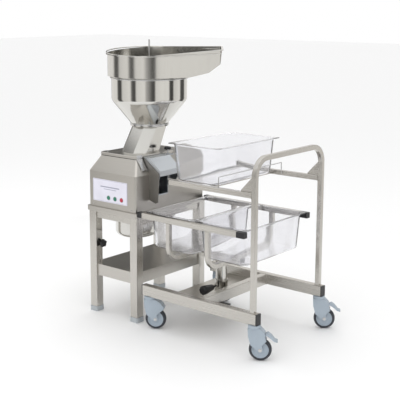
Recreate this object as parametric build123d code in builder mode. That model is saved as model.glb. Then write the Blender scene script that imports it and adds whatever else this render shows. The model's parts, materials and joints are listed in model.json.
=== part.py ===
from build123d import *
import math
import os

# Vegetable preparation machine: a cutter head with a round feed hopper on a stainless stand, and a
# docked caster trolley that carries three clear gastronorm pans.
# Origin: centre of the front right foot, on the floor. +X runs from the stand to the trolley handle,
# +Y from the control panel to the back, +Z up. Millimetres.

# ---- stand -------------------------------------------------------------------------------------
leg = 50.0                 # outside of a square leg tube
leg_wall = 2.0
leg_radius = 4.0
leg_span_x = 300.0         # between leg centres, left to right
leg_span_y = 520.0         # between leg centres, front to back
foot_height = 28.0
foot_lip = 2.0             # how far a foot stands out round its leg
spigot_clearance = 0.3
spigot_height = 26.0
table_z = 596.0            # top of the table
table_sheet = 3.0
table_overhang = 8.0
table_lip = 26.0           # height of the turned-down edge
frame_height = 62.0        # top frame rails between the legs
frame_width = 20.0
frame_setback = 8.0        # from the leg's outer face to the rail's outer face
shelf_z = 272.0            # top of the lower shelf
shelf_skirt = 63.0
shelf_sheet = 2.5
shelf_setback = 9.0
fit_gap = 0.3              # gap between a sheet edge and the tube that it is notched round
skin = 0.3                 # gap between a cover and the slope that it follows
carrier_sheet = 5.0        # cross plate that carries the motor
carrier_width = 262.0
pad_thickness = 7.0        # rubber pad under the cross plate
leg_knob_y = 12.0          # hand knob on the inside of the front left leg
leg_knob_z = 384.0
leg_knob_stud = 4.0

# ---- machine -----------------------------------------------------------------------------------
housing_width = 344.0
housing_depth = 560.0
housing_wall = 2.5
housing_corner = 12.0
shoulder_z = 790.0         # where the sloping top begins
crown_z = 866.0            # flat top of the housing
slope_front = 62.0         # how far each slope runs inwards
slope_right = 51.0
slope_left = 28.0
slope_back = 30.0
spindle_y = 165.0          # drive spindle, behind the origin
chamber_radius = 110.0     # outside of the cutting chamber
chamber_wall = 4.0
chamber_base_z = 665.0
outlet_width = 140.0       # inside of the discharge duct, front to back
outlet_top_z = 786.0
outlet_y = 158.0           # middle of the discharge duct
duct_wall = 3.0
can_radius = 115.0         # spun can over the motor's lower end
can_height = 92.0
can_wall = 2.0
can_bottom_radius = 28.0
can_flange = 10.0
motor_radius = 78.0
motor_top_z = 655.0
motor_can_gap = 14.0       # motor's lower end above the can's floor
shaft_radius = 11.0
shaft_clearance = 0.05
disc_radius = 100.0
disc_z = 800.0
disc_thickness = 8.0
ejector_radius = 98.0
ejector_z = 700.0
panel_width = 252.0
panel_height = 121.0
panel_thickness = 1.5
panel_x = -164.0
panel_z = 690.0
button_radius = 11.0
button_gap = 0.4           # round each button, in the panel and the housing
button_proud = 4.0
button_z = 655.0
button_pitch = 47.5
button_first_x = -174.0
button_length = 16.0
button_travel = 3.0
gland_radius = 10.0
gland_x = -60.0
gland_z = 636.0

# ---- discharge hood -----------------------------------------------------------------------------
hood_sheet = 2.5
hood_top_z = 876.0
hood_edge_z = 815.0
hood_lip_z = 787.0
hood_reach = 75.0          # beyond the housing's right face
hood_start_y = 83.0
hood_length = 158.0
guard_y = 79.0             # front face of the dark guard plate
guard_sheet = 3.0
guard_reach = 70.0
guard_bottom_z = 640.0
knob_post_radius = 5.0
knob_post_height = 22.0

# ---- feed head ----------------------------------------------------------------------------------
seal_thickness = 3.0
head_thickness = 15.0
head_length = 305.0
hinge_pin_radius = 5.0
hinge_clearance = 0.05
latch_width = 36.0
latch_thickness = 5.0
latch_gap = 0.5            # between the latch and the head plate's edge
latch_pivot_z = 812.0
chute_width = 176.0        # octagonal chute, left to right
chute_depth = 200.0        # octagonal chute, front to back
chute_corner = 49.0
chute_wall = 3.0
chute_foot_y = 200.0
hopper_y = 275.0
neck_z = 1025.0
neck_radius = 100.0
neck_flange = 6.0
bowl_radius = 206.0
bowl_wall = 2.5
cone_top_z = 1160.0
bowl_top_z = 1290.0
tray_radius = 226.0
tray_reach = 392.0         # hopper axis to the end of the spout
tray_end_width = 190.0
tray_angle = 39.0          # plan angle of the spout from +X
tray_wall = 2.5
tray_rim_z = 1421.0        # rim height over the hopper axis
tray_rim_lean = 4.0        # degrees by which the rim climbs away from the spout's near side
tray_rim_width = 8.0
tray_rim_thickness = 3.0
rod_radius = 4.0
rod_top_z = 1484.0
spider_radius = 92.0

# ---- trolley ------------------------------------------------------------------------------------
stem_first_x = 122.0       # left casters' swivel axis
stem_span_x = 666.0
stem_span_y = 576.0
base_width = 38.0          # base rail tube
base_height = 56.0
base_wall = 2.0
base_bottom_z = 175.0
base_overhang = 37.0       # rail ends beyond the left stems
base_tail = 19.0           # rail ends beyond the right stems
plug_thickness = 5.0
upright = 25.0             # uprights, handle and upper rails
upright_wall = 2.0
upright_back = 8.0         # upright's centre left of the right stems
handle_z = 967.0
handle_radius = 85.0
upper_rail_z = 797.5
upper_rail_start = 261.0
gusset_run = 67.0
gusset_rise = 70.0
gusset_sheet = 3.0
bar_width = 24.0           # cross bars under the upper pan
bar_thickness = 8.0
bar_lift = 5.0             # bar's underside above the rails' underside
bail_wire = 5.0
bail_rise = 45.0
bail_reach = 5.5           # end of the wire that turns outwards into the rail

# ---- lower tier ---------------------------------------------------------------------------------
tier_rail = 30.0
tier_wall = 2.0
tier_rail_z = 595.0
tier_start = 37.0
tier_cap_left = 30.0
tier_cap_right = 45.0
tier_lead = 31.0           # rail ends left of the left pan
pan_rest = 5.0             # how far a pan's rim lies over each rail
hoop_tube = 25.0
hoop_wall = 2.0
hoop_bottom_z = 390.0
hoop_radius = 65.0
hoop_first_x = 240.0
hoop_span = 253.0
spreader_height = 25.0
spreader_width = 40.0
column_radius = 30.0       # round column that carries the tier
column_wall = 2.5
column_gap = 0.5           # all round, inside the sleeve
sleeve_wall = 3.5
sleeve_top_z = 250.0
sleeve_bottom_z = 145.0
column_knob_z = 216.0
column_knob_radius = 25.0
column_foot_z = 150.0
deck_sheet = 6.0           # plate that carries the sleeve
deck_width = 232.0
crossbar_width = 38.0
crossbar_x = 451.0
lift_pedal_width = 54.0
pedal_pin_radius = 3.0
pedal_ear = 4.0
pedal_gap = 0.5
pedal_setback = 96.0       # pedal's back face, in front of the trolley's middle

# ---- pans (gastronorm 1/1) ----------------------------------------------------------------------
pan_length = 530.0
pan_width = 325.0
pan_depth = 190.0
pan_rim = 3.0
pan_wall = 3.5
pan_rim_corner = 15.0
pan_body_corner = 42.0
pan_ledge = 13.0           # rim beyond the body at the top
pan_taper = 13.0           # body narrows this much more at each side by the bottom
pan_gap = 1.0              # between neighbouring pans, and round a pan in its place
upper_pan_x = 220.0        # left edge of the upper pan's rim

# ---- casters ------------------------------------------------------------------------------------
wheel_radius = 55.0
wheel_width = 32.0
tyre_depth = 11.0
hub_radius = 14.0
hub_width = 35.0
axle_radius = 4.0
axle_clearance = 0.05
caster_trail = 30.0
swivel_radius = 30.0
swivel_height = 14.0
swivel_gap = 0.4
fork_width = 46.0
fork_plate = 4.0
crown_bottom_z = 118.0
pedal_width = 34.0
pedal_reach = 112.0        # tip, from the swivel axis
swivel_angle = 32.0        # how far each caster is turned on its swivel, anticlockwise from above

# ---- worked out from the sizes above ------------------------------------------------------------
machine_x = -leg_span_x / 2
right_face = leg / 2
front_face = -leg / 2
back_face = leg_span_y + leg / 2
trolley_y = leg_span_y / 2
frame_bottom_z = table_z - table_sheet - frame_height
housing_right = machine_x + housing_width / 2
housing_left = machine_x - housing_width / 2
housing_back = front_face + housing_depth
can_top_z = frame_bottom_z - carrier_sheet - pad_thickness
can_floor_z = can_top_z - can_height
head_bottom_z = crown_z + seal_thickness
head_top_z = head_bottom_z + head_thickness
head_left = housing_left + slope_left
head_right = housing_right - slope_right
head_front = front_face + slope_front
head_back = head_front + head_length
head_x = (head_left + head_right) / 2
hinge_x = housing_left + slope_left - 12.0
hinge_z = crown_z + 4.0
stem_last_x = stem_first_x + stem_span_x
front_line = trolley_y - stem_span_y / 2
back_line = trolley_y + stem_span_y / 2
base_start = stem_first_x - base_overhang
base_end = stem_last_x + base_tail
base_top_z = base_bottom_z + base_height
upright_x = stem_last_x - upright_back
upper_rail_end = upright_x - upright / 2
tier_reach = pan_length / 2 + tier_rail / 2 - pan_rest
tier_lines = (trolley_y - tier_reach, trolley_y + tier_reach)
left_pan_x = tier_start + tier_lead
tier_end = left_pan_x + 2 * pan_width + pan_gap
right_pan_x = left_pan_x + pan_width + pan_gap
tier_pan_z = tier_rail_z + tier_rail / 2 + pan_rim
upper_pan_z = upper_rail_z - upright / 2 + bar_lift + bar_thickness + pan_depth
column_x = hoop_first_x + hoop_span / 2
deck_end = crossbar_x - crossbar_width / 2
deck_start = deck_end - deck_width
pedal_pivot_x = deck_end - 8.0
pedal_pivot_z = base_bottom_z - 12.0
pedal_back_y = trolley_y - pedal_setback
wheel_z = wheel_radius

os.makedirs("parts", exist_ok=True)


def save(part, label):
    """Labels a finished piece and writes its STEP file."""
    part.label = label
    export_step(part, f"parts/{label}.step")


def tube_section(x, y, width, height, wall, corner):
    """A hollow rounded rectangle, drawn in the sketch that is open."""
    with Locations((x, y)):
        RectangleRounded(width, height, corner)
    with Locations((x, y)):
        RectangleRounded(width - 2 * wall, height - 2 * wall, max(corner - wall, 0.5), mode=Mode.SUBTRACT)


def octagon(x, y, width, depth, corner):
    """Points of a rectangle with its corners cut off, anticlockwise from the front right."""
    a, b = width / 2, depth / 2
    return [
        (x + a, y - b + corner),
        (x + a, y + b - corner),
        (x + a - corner, y + b),
        (x - a + corner, y + b),
        (x - a, y + b - corner),
        (x - a, y - b + corner),
        (x - a + corner, y - b),
        (x + a - corner, y - b),
    ]


def lobed_knob(plane, radius, thickness, lobes, stud_radius, stud_length):
    """A hand knob with round lobes on a threaded stud: the stud starts at the plane, the head lies beyond."""
    with BuildPart() as knob:
        with BuildSketch(plane):
            Circle(stud_radius)
        extrude(amount=stud_length)
        with BuildSketch(plane.offset(stud_length)):
            Circle(radius * 0.72)
            with PolarLocations(radius * 0.72, lobes):
                Circle(radius * 0.28)
        extrude(amount=thickness)
        with BuildSketch(plane.offset(stud_length + thickness)):
            Circle(radius * 0.45)
        extrude(amount=thickness * 0.25, taper=20)
    return knob.part


# ================================ stand ==========================================================
leg_places = [(x, y) for x in (0, -leg_span_x) for y in (0, leg_span_y)]

with BuildPart() as stand_legs:
    with BuildSketch(Plane.XY.offset(foot_height)):
        for x, y in leg_places:
            tube_section(x, y, leg, leg, leg_wall, leg_radius)
    extrude(amount=table_z - table_sheet - foot_height)
    with BuildSketch(Plane.YZ.offset(-leg_span_x)):
        with Locations((leg_knob_y, leg_knob_z)):
            Circle(leg_knob_stud + 0.5)
    extrude(amount=leg / 2 + 1.0, mode=Mode.SUBTRACT)
save(stand_legs.part, "stand_legs")

with BuildPart() as stand_feet:
    with BuildSketch():
        with Locations(*leg_places):
            RectangleRounded(leg + 2 * foot_lip, leg + 2 * foot_lip, leg_radius + foot_lip)
    extrude(amount=foot_height)
    chamfer(stand_feet.faces().sort_by(Axis.Z)[:4].edges(), 2.0)
    spigot = leg - 2 * leg_wall - 2 * spigot_clearance
    with BuildSketch(Plane.XY.offset(foot_height)):
        with Locations(*leg_places):
            RectangleRounded(spigot, spigot, leg_radius)
    extrude(amount=spigot_height)
save(stand_feet.part, "stand_feet")

frame_middle_z = frame_bottom_z + frame_height / 2
frame_inset = frame_setback + frame_width / 2
with BuildPart() as top_frame:
    with BuildSketch(Plane.YZ.offset(-leg_span_x + leg / 2)):
        for y in (front_face + frame_inset, back_face - frame_inset):
            tube_section(y, frame_middle_z, frame_width, frame_height, 2.0, 2.5)
    extrude(amount=leg_span_x - leg)
    with BuildSketch(Plane.XZ.offset(-leg_span_y + leg / 2)):
        for x in (right_face - frame_inset, right_face - leg_span_x - leg + frame_inset):
            tube_section(x, frame_middle_z, frame_width, frame_height, 2.0, 2.5)
    extrude(amount=leg_span_y - leg)
    # cross plate under the rails that carries the motor
    with BuildSketch(Plane.XY.offset(frame_bottom_z - carrier_sheet)):
        with Locations((machine_x, spindle_y)):
            Rectangle(leg_span_x + leg - 2 * frame_setback, carrier_width)
            Circle(motor_radius + 6.0, mode=Mode.SUBTRACT)
    extrude(amount=carrier_sheet)
save(top_frame.part, "top_frame")

table_width = leg_span_x + leg + 2 * table_overhang
table_depth = leg_span_y + leg + 2 * table_overhang
with BuildPart() as table_top:
    with BuildSketch(Plane.XY.offset(table_z - table_lip)):
        with Locations((machine_x, trolley_y)):
            RectangleRounded(table_width, table_depth, 10.0)
    extrude(amount=table_lip)
    with BuildSketch(Plane.XY.offset(table_z - table_lip)):
        with Locations((machine_x, trolley_y)):
            RectangleRounded(table_width - 2 * table_sheet, table_depth - 2 * table_sheet, 7.0)
    extrude(amount=table_lip - table_sheet, mode=Mode.SUBTRACT)
    with BuildSketch(Plane.XY.offset(table_z - table_sheet)):
        with Locations((machine_x, spindle_y)):
            Circle(motor_radius + 6.0)
    extrude(amount=table_sheet, mode=Mode.SUBTRACT)
save(table_top.part, "table_top")

shelf_width = leg_span_x + leg - 2 * shelf_setback
shelf_depth = leg_span_y + leg - 2 * shelf_setback
with BuildPart() as lower_shelf:
    with BuildSketch(Plane.XY.offset(shelf_z - shelf_skirt)):
        with Locations((machine_x, trolley_y)):
            Rectangle(shelf_width, shelf_depth)
    extrude(amount=shelf_skirt)
    with BuildSketch(Plane.XY.offset(shelf_z - shelf_skirt)):
        with Locations((machine_x, trolley_y)):
            Rectangle(shelf_width - 2 * shelf_sheet, shelf_depth - 2 * shelf_sheet)
    extrude(amount=shelf_skirt - shelf_sheet, mode=Mode.SUBTRACT)
    with BuildSketch(Plane.XY.offset(shelf_z - shelf_skirt)):
        with Locations(*leg_places):
            RectangleRounded(leg + 2 * fit_gap, leg + 2 * fit_gap, leg_radius)
    extrude(amount=shelf_skirt, mode=Mode.SUBTRACT)
save(lower_shelf.part, "lower_shelf")

with BuildPart() as isolation_pad:
    with BuildSketch(Plane.XY.offset(can_top_z)):
        with Locations((machine_x, spindle_y)):
            RectangleRounded(carrier_width, carrier_width, 12.0)
            Circle(motor_radius + 6.0, mode=Mode.SUBTRACT)
    extrude(amount=pad_thickness)
save(isolation_pad.part, "isolation_pad")

with BuildPart() as motor_can:
    with BuildSketch(Plane.XZ.offset(-spindle_y)):
        with BuildLine():
            Polyline(
                (machine_x, can_floor_z),
                (machine_x + can_radius, can_floor_z),
                (machine_x + can_radius, can_top_z - can_wall),
                (machine_x + can_radius + can_flange, can_top_z - can_wall),
                (machine_x + can_radius + can_flange, can_top_z),
                (machine_x + can_radius - can_wall, can_top_z),
                (machine_x + can_radius - can_wall, can_floor_z + can_wall),
                (machine_x, can_floor_z + can_wall),
                close=True,
            )
        make_face()
    revolve(axis=Axis((machine_x, spindle_y, 0), (0, 0, 1)))
    fillet(motor_can.edges().filter_by(GeomType.CIRCLE).group_by(Axis.Z)[0], can_bottom_radius)
    floor_edge = motor_can.edges().filter_by(GeomType.CIRCLE).filter_by_position(
        Axis.Z, can_floor_z + can_wall - 0.01, can_floor_z + can_wall + 0.01
    )
    fillet(floor_edge, can_bottom_radius - can_wall)
save(motor_can.part, "motor_can")

with BuildPart() as motor:
    with BuildSketch(Plane.XY.offset(can_floor_z + can_wall + motor_can_gap)):
        with Locations((machine_x, spindle_y)):
            Circle(motor_radius)
    extrude(amount=motor_top_z - can_floor_z - can_wall - motor_can_gap)
    chamfer(motor.edges().filter_by(GeomType.CIRCLE), 6.0)
    with BuildSketch(Plane.XY.offset(motor_top_z - 60.0)):
        with Locations((machine_x, spindle_y)):
            Circle(shaft_radius + shaft_clearance)
    extrude(amount=60.0, mode=Mode.SUBTRACT)
save(motor.part, "motor")

# ================================ machine housing ================================================


def housing_block(inset, top):
    """The housing's outer form, or its hollow when inset by the wall: a rounded box, then a sloping top."""
    lower = housing_corner - inset
    width, depth = housing_width - 2 * inset, housing_depth - 2 * inset
    middle_y = front_face + housing_depth / 2
    crown_w, crown_d = head_right - head_left - 2 * inset, housing_depth - slope_front - slope_back - 2 * inset
    crown_y = (head_front + housing_back - slope_back) / 2
    with BuildPart() as block:
        with BuildSketch(Plane.XY.offset(table_z)):
            with Locations((machine_x, middle_y)):
                RectangleRounded(width, depth, lower)
        extrude(amount=shoulder_z - table_z)
        with BuildSketch(Plane.XY.offset(shoulder_z)):
            with Locations((machine_x, middle_y)):
                RectangleRounded(width, depth, lower)
        with BuildSketch(Plane.XY.offset(top)):
            with Locations((head_x, crown_y)):
                RectangleRounded(crown_w, crown_d, lower)
        loft(ruled=True)
    return block.part


outlet_outer = outlet_width + 2 * duct_wall
outlet_outer_height = outlet_top_z - chamber_base_z + duct_wall
duct_centre_z = chamber_base_z + outlet_outer_height / 2
housing_outer = housing_block(0.0, crown_z)
housing_inner = housing_block(housing_wall, crown_z - housing_wall)
with BuildPart() as housing_shell:
    add(housing_outer)
    add(housing_inner, mode=Mode.SUBTRACT)
    with BuildSketch(Plane.XY.offset(crown_z - 2 * housing_wall)):
        with Locations((machine_x, spindle_y)):
            Circle(chamber_radius + fit_gap)
    extrude(amount=4 * housing_wall, mode=Mode.SUBTRACT)
    with BuildSketch(Plane.YZ.offset(housing_right - 4 * housing_wall)):
        with Locations((outlet_y, duct_centre_z)):
            Rectangle(outlet_outer + 2 * fit_gap, outlet_outer_height + 2 * fit_gap)
    extrude(amount=8 * housing_wall, mode=Mode.SUBTRACT)
    with BuildSketch(Plane.XZ.offset(-front_face + 1.0)):
        for i in range(3):
            with Locations((button_first_x + i * button_pitch, button_z)):
                Circle(button_radius + button_gap)
    extrude(amount=-4 * housing_wall, mode=Mode.SUBTRACT)
    with BuildSketch(Plane.XZ.offset(-housing_back - 1.0)):
        with Locations((gland_x, gland_z)):
            Circle(gland_radius + fit_gap)
    extrude(amount=4 * housing_wall, mode=Mode.SUBTRACT)
save(housing_shell.part, "housing_shell")

with BuildPart() as cutting_chamber:
    with BuildSketch(Plane.XY.offset(chamber_base_z)):
        with Locations((machine_x, spindle_y)):
            Circle(chamber_radius)
    extrude(amount=crown_z - chamber_base_z)
    with BuildSketch(Plane.YZ.offset(machine_x)):
        with Locations((outlet_y, duct_centre_z)):
            Rectangle(outlet_outer, outlet_outer_height)
    extrude(amount=housing_right - machine_x)
    with BuildSketch(Plane.XY.offset(chamber_base_z + 2 * duct_wall)):
        with Locations((machine_x, spindle_y)):
            Circle(chamber_radius - chamber_wall)
    extrude(amount=crown_z - chamber_base_z, mode=Mode.SUBTRACT)
    with BuildSketch(Plane.YZ.offset(machine_x)):
        with Locations((outlet_y, duct_centre_z + duct_wall / 2)):
            Rectangle(outlet_width, outlet_outer_height - 3 * duct_wall)
    extrude(amount=housing_right - machine_x + 1.0, mode=Mode.SUBTRACT)
    with BuildSketch(Plane.XY.offset(chamber_base_z)):
        with Locations((machine_x, spindle_y)):
            Circle(shaft_radius + shaft_clearance)
    extrude(amount=2 * duct_wall, mode=Mode.SUBTRACT)
save(cutting_chamber.part, "cutting_chamber")

with BuildPart() as control_panel:
    with BuildSketch(Plane.XZ.offset(-front_face)):
        with Locations((panel_x, panel_z)):
            RectangleRounded(panel_width, panel_height, 4.0)
        for i in range(3):
            with Locations((button_first_x + i * button_pitch, button_z)):
                Circle(button_radius + button_gap, mode=Mode.SUBTRACT)
    extrude(amount=panel_thickness)
save(control_panel.part, "control_panel")

for i, button_name in enumerate(("start_button", "pulse_button", "stop_button")):
    with BuildPart() as button:
        with BuildSketch(Plane.XZ.offset(-front_face + panel_thickness + button_proud)):
            with Locations((button_first_x + i * button_pitch, button_z)):
                Circle(button_radius)
        extrude(amount=-button_length)
        chamfer(button.faces().sort_by(Axis.Y)[0].edges(), 1.2)
    save(button.part, button_name)

with BuildPart() as cable_gland:
    with BuildSketch(Plane.XZ.offset(-housing_back + 2 * housing_wall)):
        with Locations((gland_x, gland_z)):
            Circle(gland_radius)
    extrude(amount=-2 * housing_wall)
    with BuildSketch(Plane.XZ.offset(-housing_back)):
        with Locations((gland_x, gland_z)):
            RegularPolygon(gland_radius + 5.0, 6)
    extrude(amount=-8.0)
    with BuildSketch(Plane.XZ.offset(-housing_back - 8.0)):
        with Locations((gland_x, gland_z)):
            Circle(gland_radius - 1.0)
    extrude(amount=-8.0, taper=10)
save(cable_gland.part, "cable_gland")

# ================================ discharge ======================================================
hood_edge_x = housing_right + hood_reach
hood_top_x = housing_right + 3.0
with BuildPart() as discharge_hood:
    outer_line = [
        (head_right + 3.0, hood_top_z),
        (hood_top_x, hood_top_z),
        (hood_edge_x, hood_edge_z),
        (hood_edge_x, hood_lip_z),
    ]
    inner_line = [
        (hood_edge_x - hood_sheet, hood_lip_z),
        (hood_edge_x - hood_sheet, hood_edge_z - hood_sheet / 2),
        (hood_top_x - hood_sheet / 3, hood_top_z - hood_sheet),
        (head_right + 3.0, hood_top_z - hood_sheet),
    ]
    with BuildSketch(Plane.XZ.offset(-hood_start_y - hood_length)):
        with BuildLine():
            Polyline(*outer_line, *inner_line, close=True)
        make_face()
    extrude(amount=hood_length)
    # end cheeks, which close the hood against the sloping side of the housing
    cheek = [
        (head_right + 3.0, hood_top_z - hood_sheet),
        (head_right + 3.0, crown_z + skin),
        (head_right + skin, crown_z + skin),
        (housing_right + skin, shoulder_z + skin),
        (housing_right + skin, hood_lip_z - 40.0),
        (hood_edge_x - hood_sheet - 22.0, hood_lip_z - 40.0),
        (hood_edge_x - hood_sheet, hood_lip_z),
        (hood_edge_x - hood_sheet, hood_edge_z - hood_sheet / 2),
        (hood_top_x - hood_sheet / 3, hood_top_z - hood_sheet),
    ]
    with BuildSketch(Plane.XZ.offset(-hood_start_y - hood_length)):
        with BuildLine():
            Polyline(*cheek, close=True)
        make_face()
    extrude(amount=hood_sheet)
    with BuildSketch(Plane.XZ.offset(-hood_start_y - hood_sheet)):
        with BuildLine():
            Polyline(*cheek, close=True)
        make_face()
    extrude(amount=hood_sheet)
    # flange at the far end that carries the clamp knob
    with BuildSketch(Plane.XY.offset(hood_top_z - hood_sheet)):
        with Locations((hood_top_x - 24.0, hood_start_y + hood_length + 20.0)):
            Rectangle(48.0, 40.0)
    extrude(amount=hood_sheet)
save(discharge_hood.part, "discharge_hood")

guard_x = housing_right + guard_reach
with BuildPart() as guard_plate:
    with BuildSketch(Plane.XZ.offset(-guard_y - guard_sheet)):
        with BuildLine():
            Polyline(
                (housing_right + skin, guard_bottom_z + 14.0),
                (guard_x - 26.0, guard_bottom_z),
                (guard_x - 8.0, guard_bottom_z + 8.0),
                (guard_x, shoulder_z + 6.0),
                (guard_x - 4.0, shoulder_z + 14.0),
                (head_right + 10.0, hood_top_z + 3.0),
                (head_right + 5.0, crown_z + 1.0),
                (head_right + skin, crown_z + skin),
                (housing_right + skin, shoulder_z + skin),
                close=True,
            )
        make_face()
    extrude(amount=guard_sheet)
save(guard_plate.part, "guard_plate")

hood_knob_plane = Plane(
    origin=(hood_top_x - 34.0, hood_start_y + hood_length + 22.0, hood_top_z + skin),
    x_dir=(1, 0, 0),
    z_dir=(0, 0, 1),
)
save(lobed_knob(hood_knob_plane, 21.0, 13.0, 6, knob_post_radius, knob_post_height), "hood_knob")

leg_knob_plane = Plane(
    origin=(-leg_span_x + leg / 2 - leg_wall - 6.0, leg_knob_y, leg_knob_z),
    x_dir=(0, 1, 0),
    z_dir=(1, 0, 0),
)
save(lobed_knob(leg_knob_plane, 25.0, 16.0, 5, leg_knob_stud, 16.0), "leg_knob")

# ================================ spindle ========================================================
with BuildPart() as drive_shaft:
    with BuildSketch(Plane.XY.offset(motor_top_z - 55.0)):
        with Locations((machine_x, spindle_y)):
            Circle(shaft_radius)
    extrude(amount=disc_z + disc_thickness + 6.0 - motor_top_z + 55.0)
    chamfer(drive_shaft.edges().filter_by(GeomType.CIRCLE), 1.5)
save(drive_shaft.part, "drive_shaft")

with BuildPart() as ejector:
    with BuildSketch(Plane.XY.offset(ejector_z)):
        with Locations((machine_x, spindle_y)):
            Circle(ejector_radius)
    extrude(amount=4.0)
    with BuildSketch(Plane.XY.offset(ejector_z)):
        with Locations((machine_x, spindle_y)):
            Circle(24.0)
    extrude(amount=26.0)
    with BuildSketch(Plane.XY.offset(ejector_z + 4.0)):
        with Locations((machine_x, spindle_y)):
            with PolarLocations(58.0, 4):
                Rectangle(76.0, 5.0)
    extrude(amount=18.0)
    with BuildSketch(Plane.XY.offset(ejector_z)):
        with Locations((machine_x, spindle_y)):
            Circle(shaft_radius)
    extrude(amount=26.0, mode=Mode.SUBTRACT)
save(ejector.part, "ejector")

with BuildPart() as cutting_disc:
    with BuildSketch(Plane.XY.offset(disc_z)):
        with Locations((machine_x, spindle_y)):
            Circle(disc_radius)
            with PolarLocations(56.0, 2):
                SlotOverall(66.0, 14.0, mode=Mode.SUBTRACT)
    extrude(amount=disc_thickness)
    with BuildSketch(Plane.XY.offset(disc_z - 20.0)):
        with Locations((machine_x, spindle_y)):
            Circle(20.0)
    extrude(amount=20.0 + disc_thickness)
    with BuildSketch(Plane.XY.offset(disc_z - 20.0)):
        with Locations((machine_x, spindle_y)):
            Circle(shaft_radius)
    extrude(amount=40.0, mode=Mode.SUBTRACT)
    # blades along the back edges of the slots
    with BuildSketch(Plane.XY.offset(disc_z + disc_thickness)):
        with Locations((machine_x, spindle_y)):
            with PolarLocations(56.0, 2):
                with Locations((0, 12.0)):
                    Rectangle(64.0, 9.0)
    extrude(amount=2.0)
save(cutting_disc.part, "cutting_disc")

# ================================ feed head ======================================================
with BuildPart() as head_seal:
    with BuildSketch(Plane.XY.offset(crown_z)):
        with Locations((head_x, head_front + head_length / 2)):
            RectangleRounded(head_right - head_left - 3.0, head_length - 3.0, 11.0)
        with Locations((machine_x, spindle_y)):
            Circle(chamber_radius - chamber_wall, mode=Mode.SUBTRACT)
    extrude(amount=seal_thickness)
save(head_seal.part, "head_seal")

lug_width = 26.0
lug_places = (head_front + 45.0, head_back - 45.0)
with BuildPart() as head_plate:
    with BuildSketch(Plane.XY.offset(head_bottom_z)):
        with Locations((head_x, head_front + head_length / 2)):
            RectangleRounded(head_right - head_left, head_length, 12.0)
    extrude(amount=head_thickness)
    chamfer(head_plate.faces().sort_by(Axis.Z)[-1].edges(), 2.5)
    with BuildSketch(Plane.XY.offset(head_bottom_z)) as feed_hole:
        with BuildLine():
            Polyline(
                *octagon(
                    machine_x,
                    chute_foot_y,
                    chute_width - 2 * chute_wall,
                    chute_depth - 2 * chute_wall,
                    chute_corner,
                ),
                close=True,
            )
        make_face()
        with Locations((machine_x, spindle_y)):
            Circle(chamber_radius - chamber_wall - 4.0, mode=Mode.INTERSECT)
    extrude(amount=head_thickness, mode=Mode.SUBTRACT)
    for y in lug_places:
        with BuildSketch(Plane.XZ.offset(-y - lug_width / 2)):
            with Locations((hinge_x, hinge_z + 4.0)):
                Circle(hinge_pin_radius + 4.0)
            with Locations(((hinge_x + head_left + 4.0) / 2, head_top_z - 6.0)):
                Rectangle(head_left + 4.0 - hinge_x, 8.0)
        extrude(amount=lug_width)
        with BuildSketch(Plane.XZ.offset(-y - lug_width / 2)):
            with Locations((hinge_x, hinge_z + 4.0)):
                Circle(hinge_pin_radius + hinge_clearance)
        extrude(amount=lug_width, mode=Mode.SUBTRACT)
save(head_plate.part, "head_plate")

latch_centre_y = head_front + 1.0 + latch_width / 2
run = slope_right
rise = crown_z - shoulder_z
length = math.hypot(run, rise)
nx, nz = rise / length, run / length
near, far = 2.0, 2.0 + latch_thickness
pivot_share = (crown_z - latch_pivot_z) / rise
low_x, low_z = head_right + run * pivot_share, crown_z - rise * pivot_share
latch_pivot = (low_x + nx * (near + 4.5), low_z + nz * (near + 4.5))
with BuildPart() as latch:
    # a flat bar that lies along the right slope and stands against the head plate's edge
    with BuildSketch(Plane.XZ.offset(-latch_centre_y - latch_width / 2)):
        with BuildLine():
            Polyline(
                (low_x + nx * near, low_z + nz * near),
                (low_x + nx * far, low_z + nz * far),
                (head_right + latch_gap + latch_thickness + 3.0, crown_z + 4.0),
                (head_right + latch_gap + latch_thickness, head_top_z + 6.0),
                (head_right + latch_gap, head_top_z + 6.0),
                (head_right + latch_gap, crown_z + near + 1.0),
                close=True,
            )
        make_face()
        with Locations(latch_pivot):
            Circle(5.5)
    extrude(amount=latch_width)
    with BuildSketch(Plane.XZ.offset(-latch_centre_y - latch_width / 2)):
        with Locations(latch_pivot):
            Circle(2.5 + hinge_clearance)
    extrude(amount=latch_width, mode=Mode.SUBTRACT)
save(latch.part, "latch")

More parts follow.
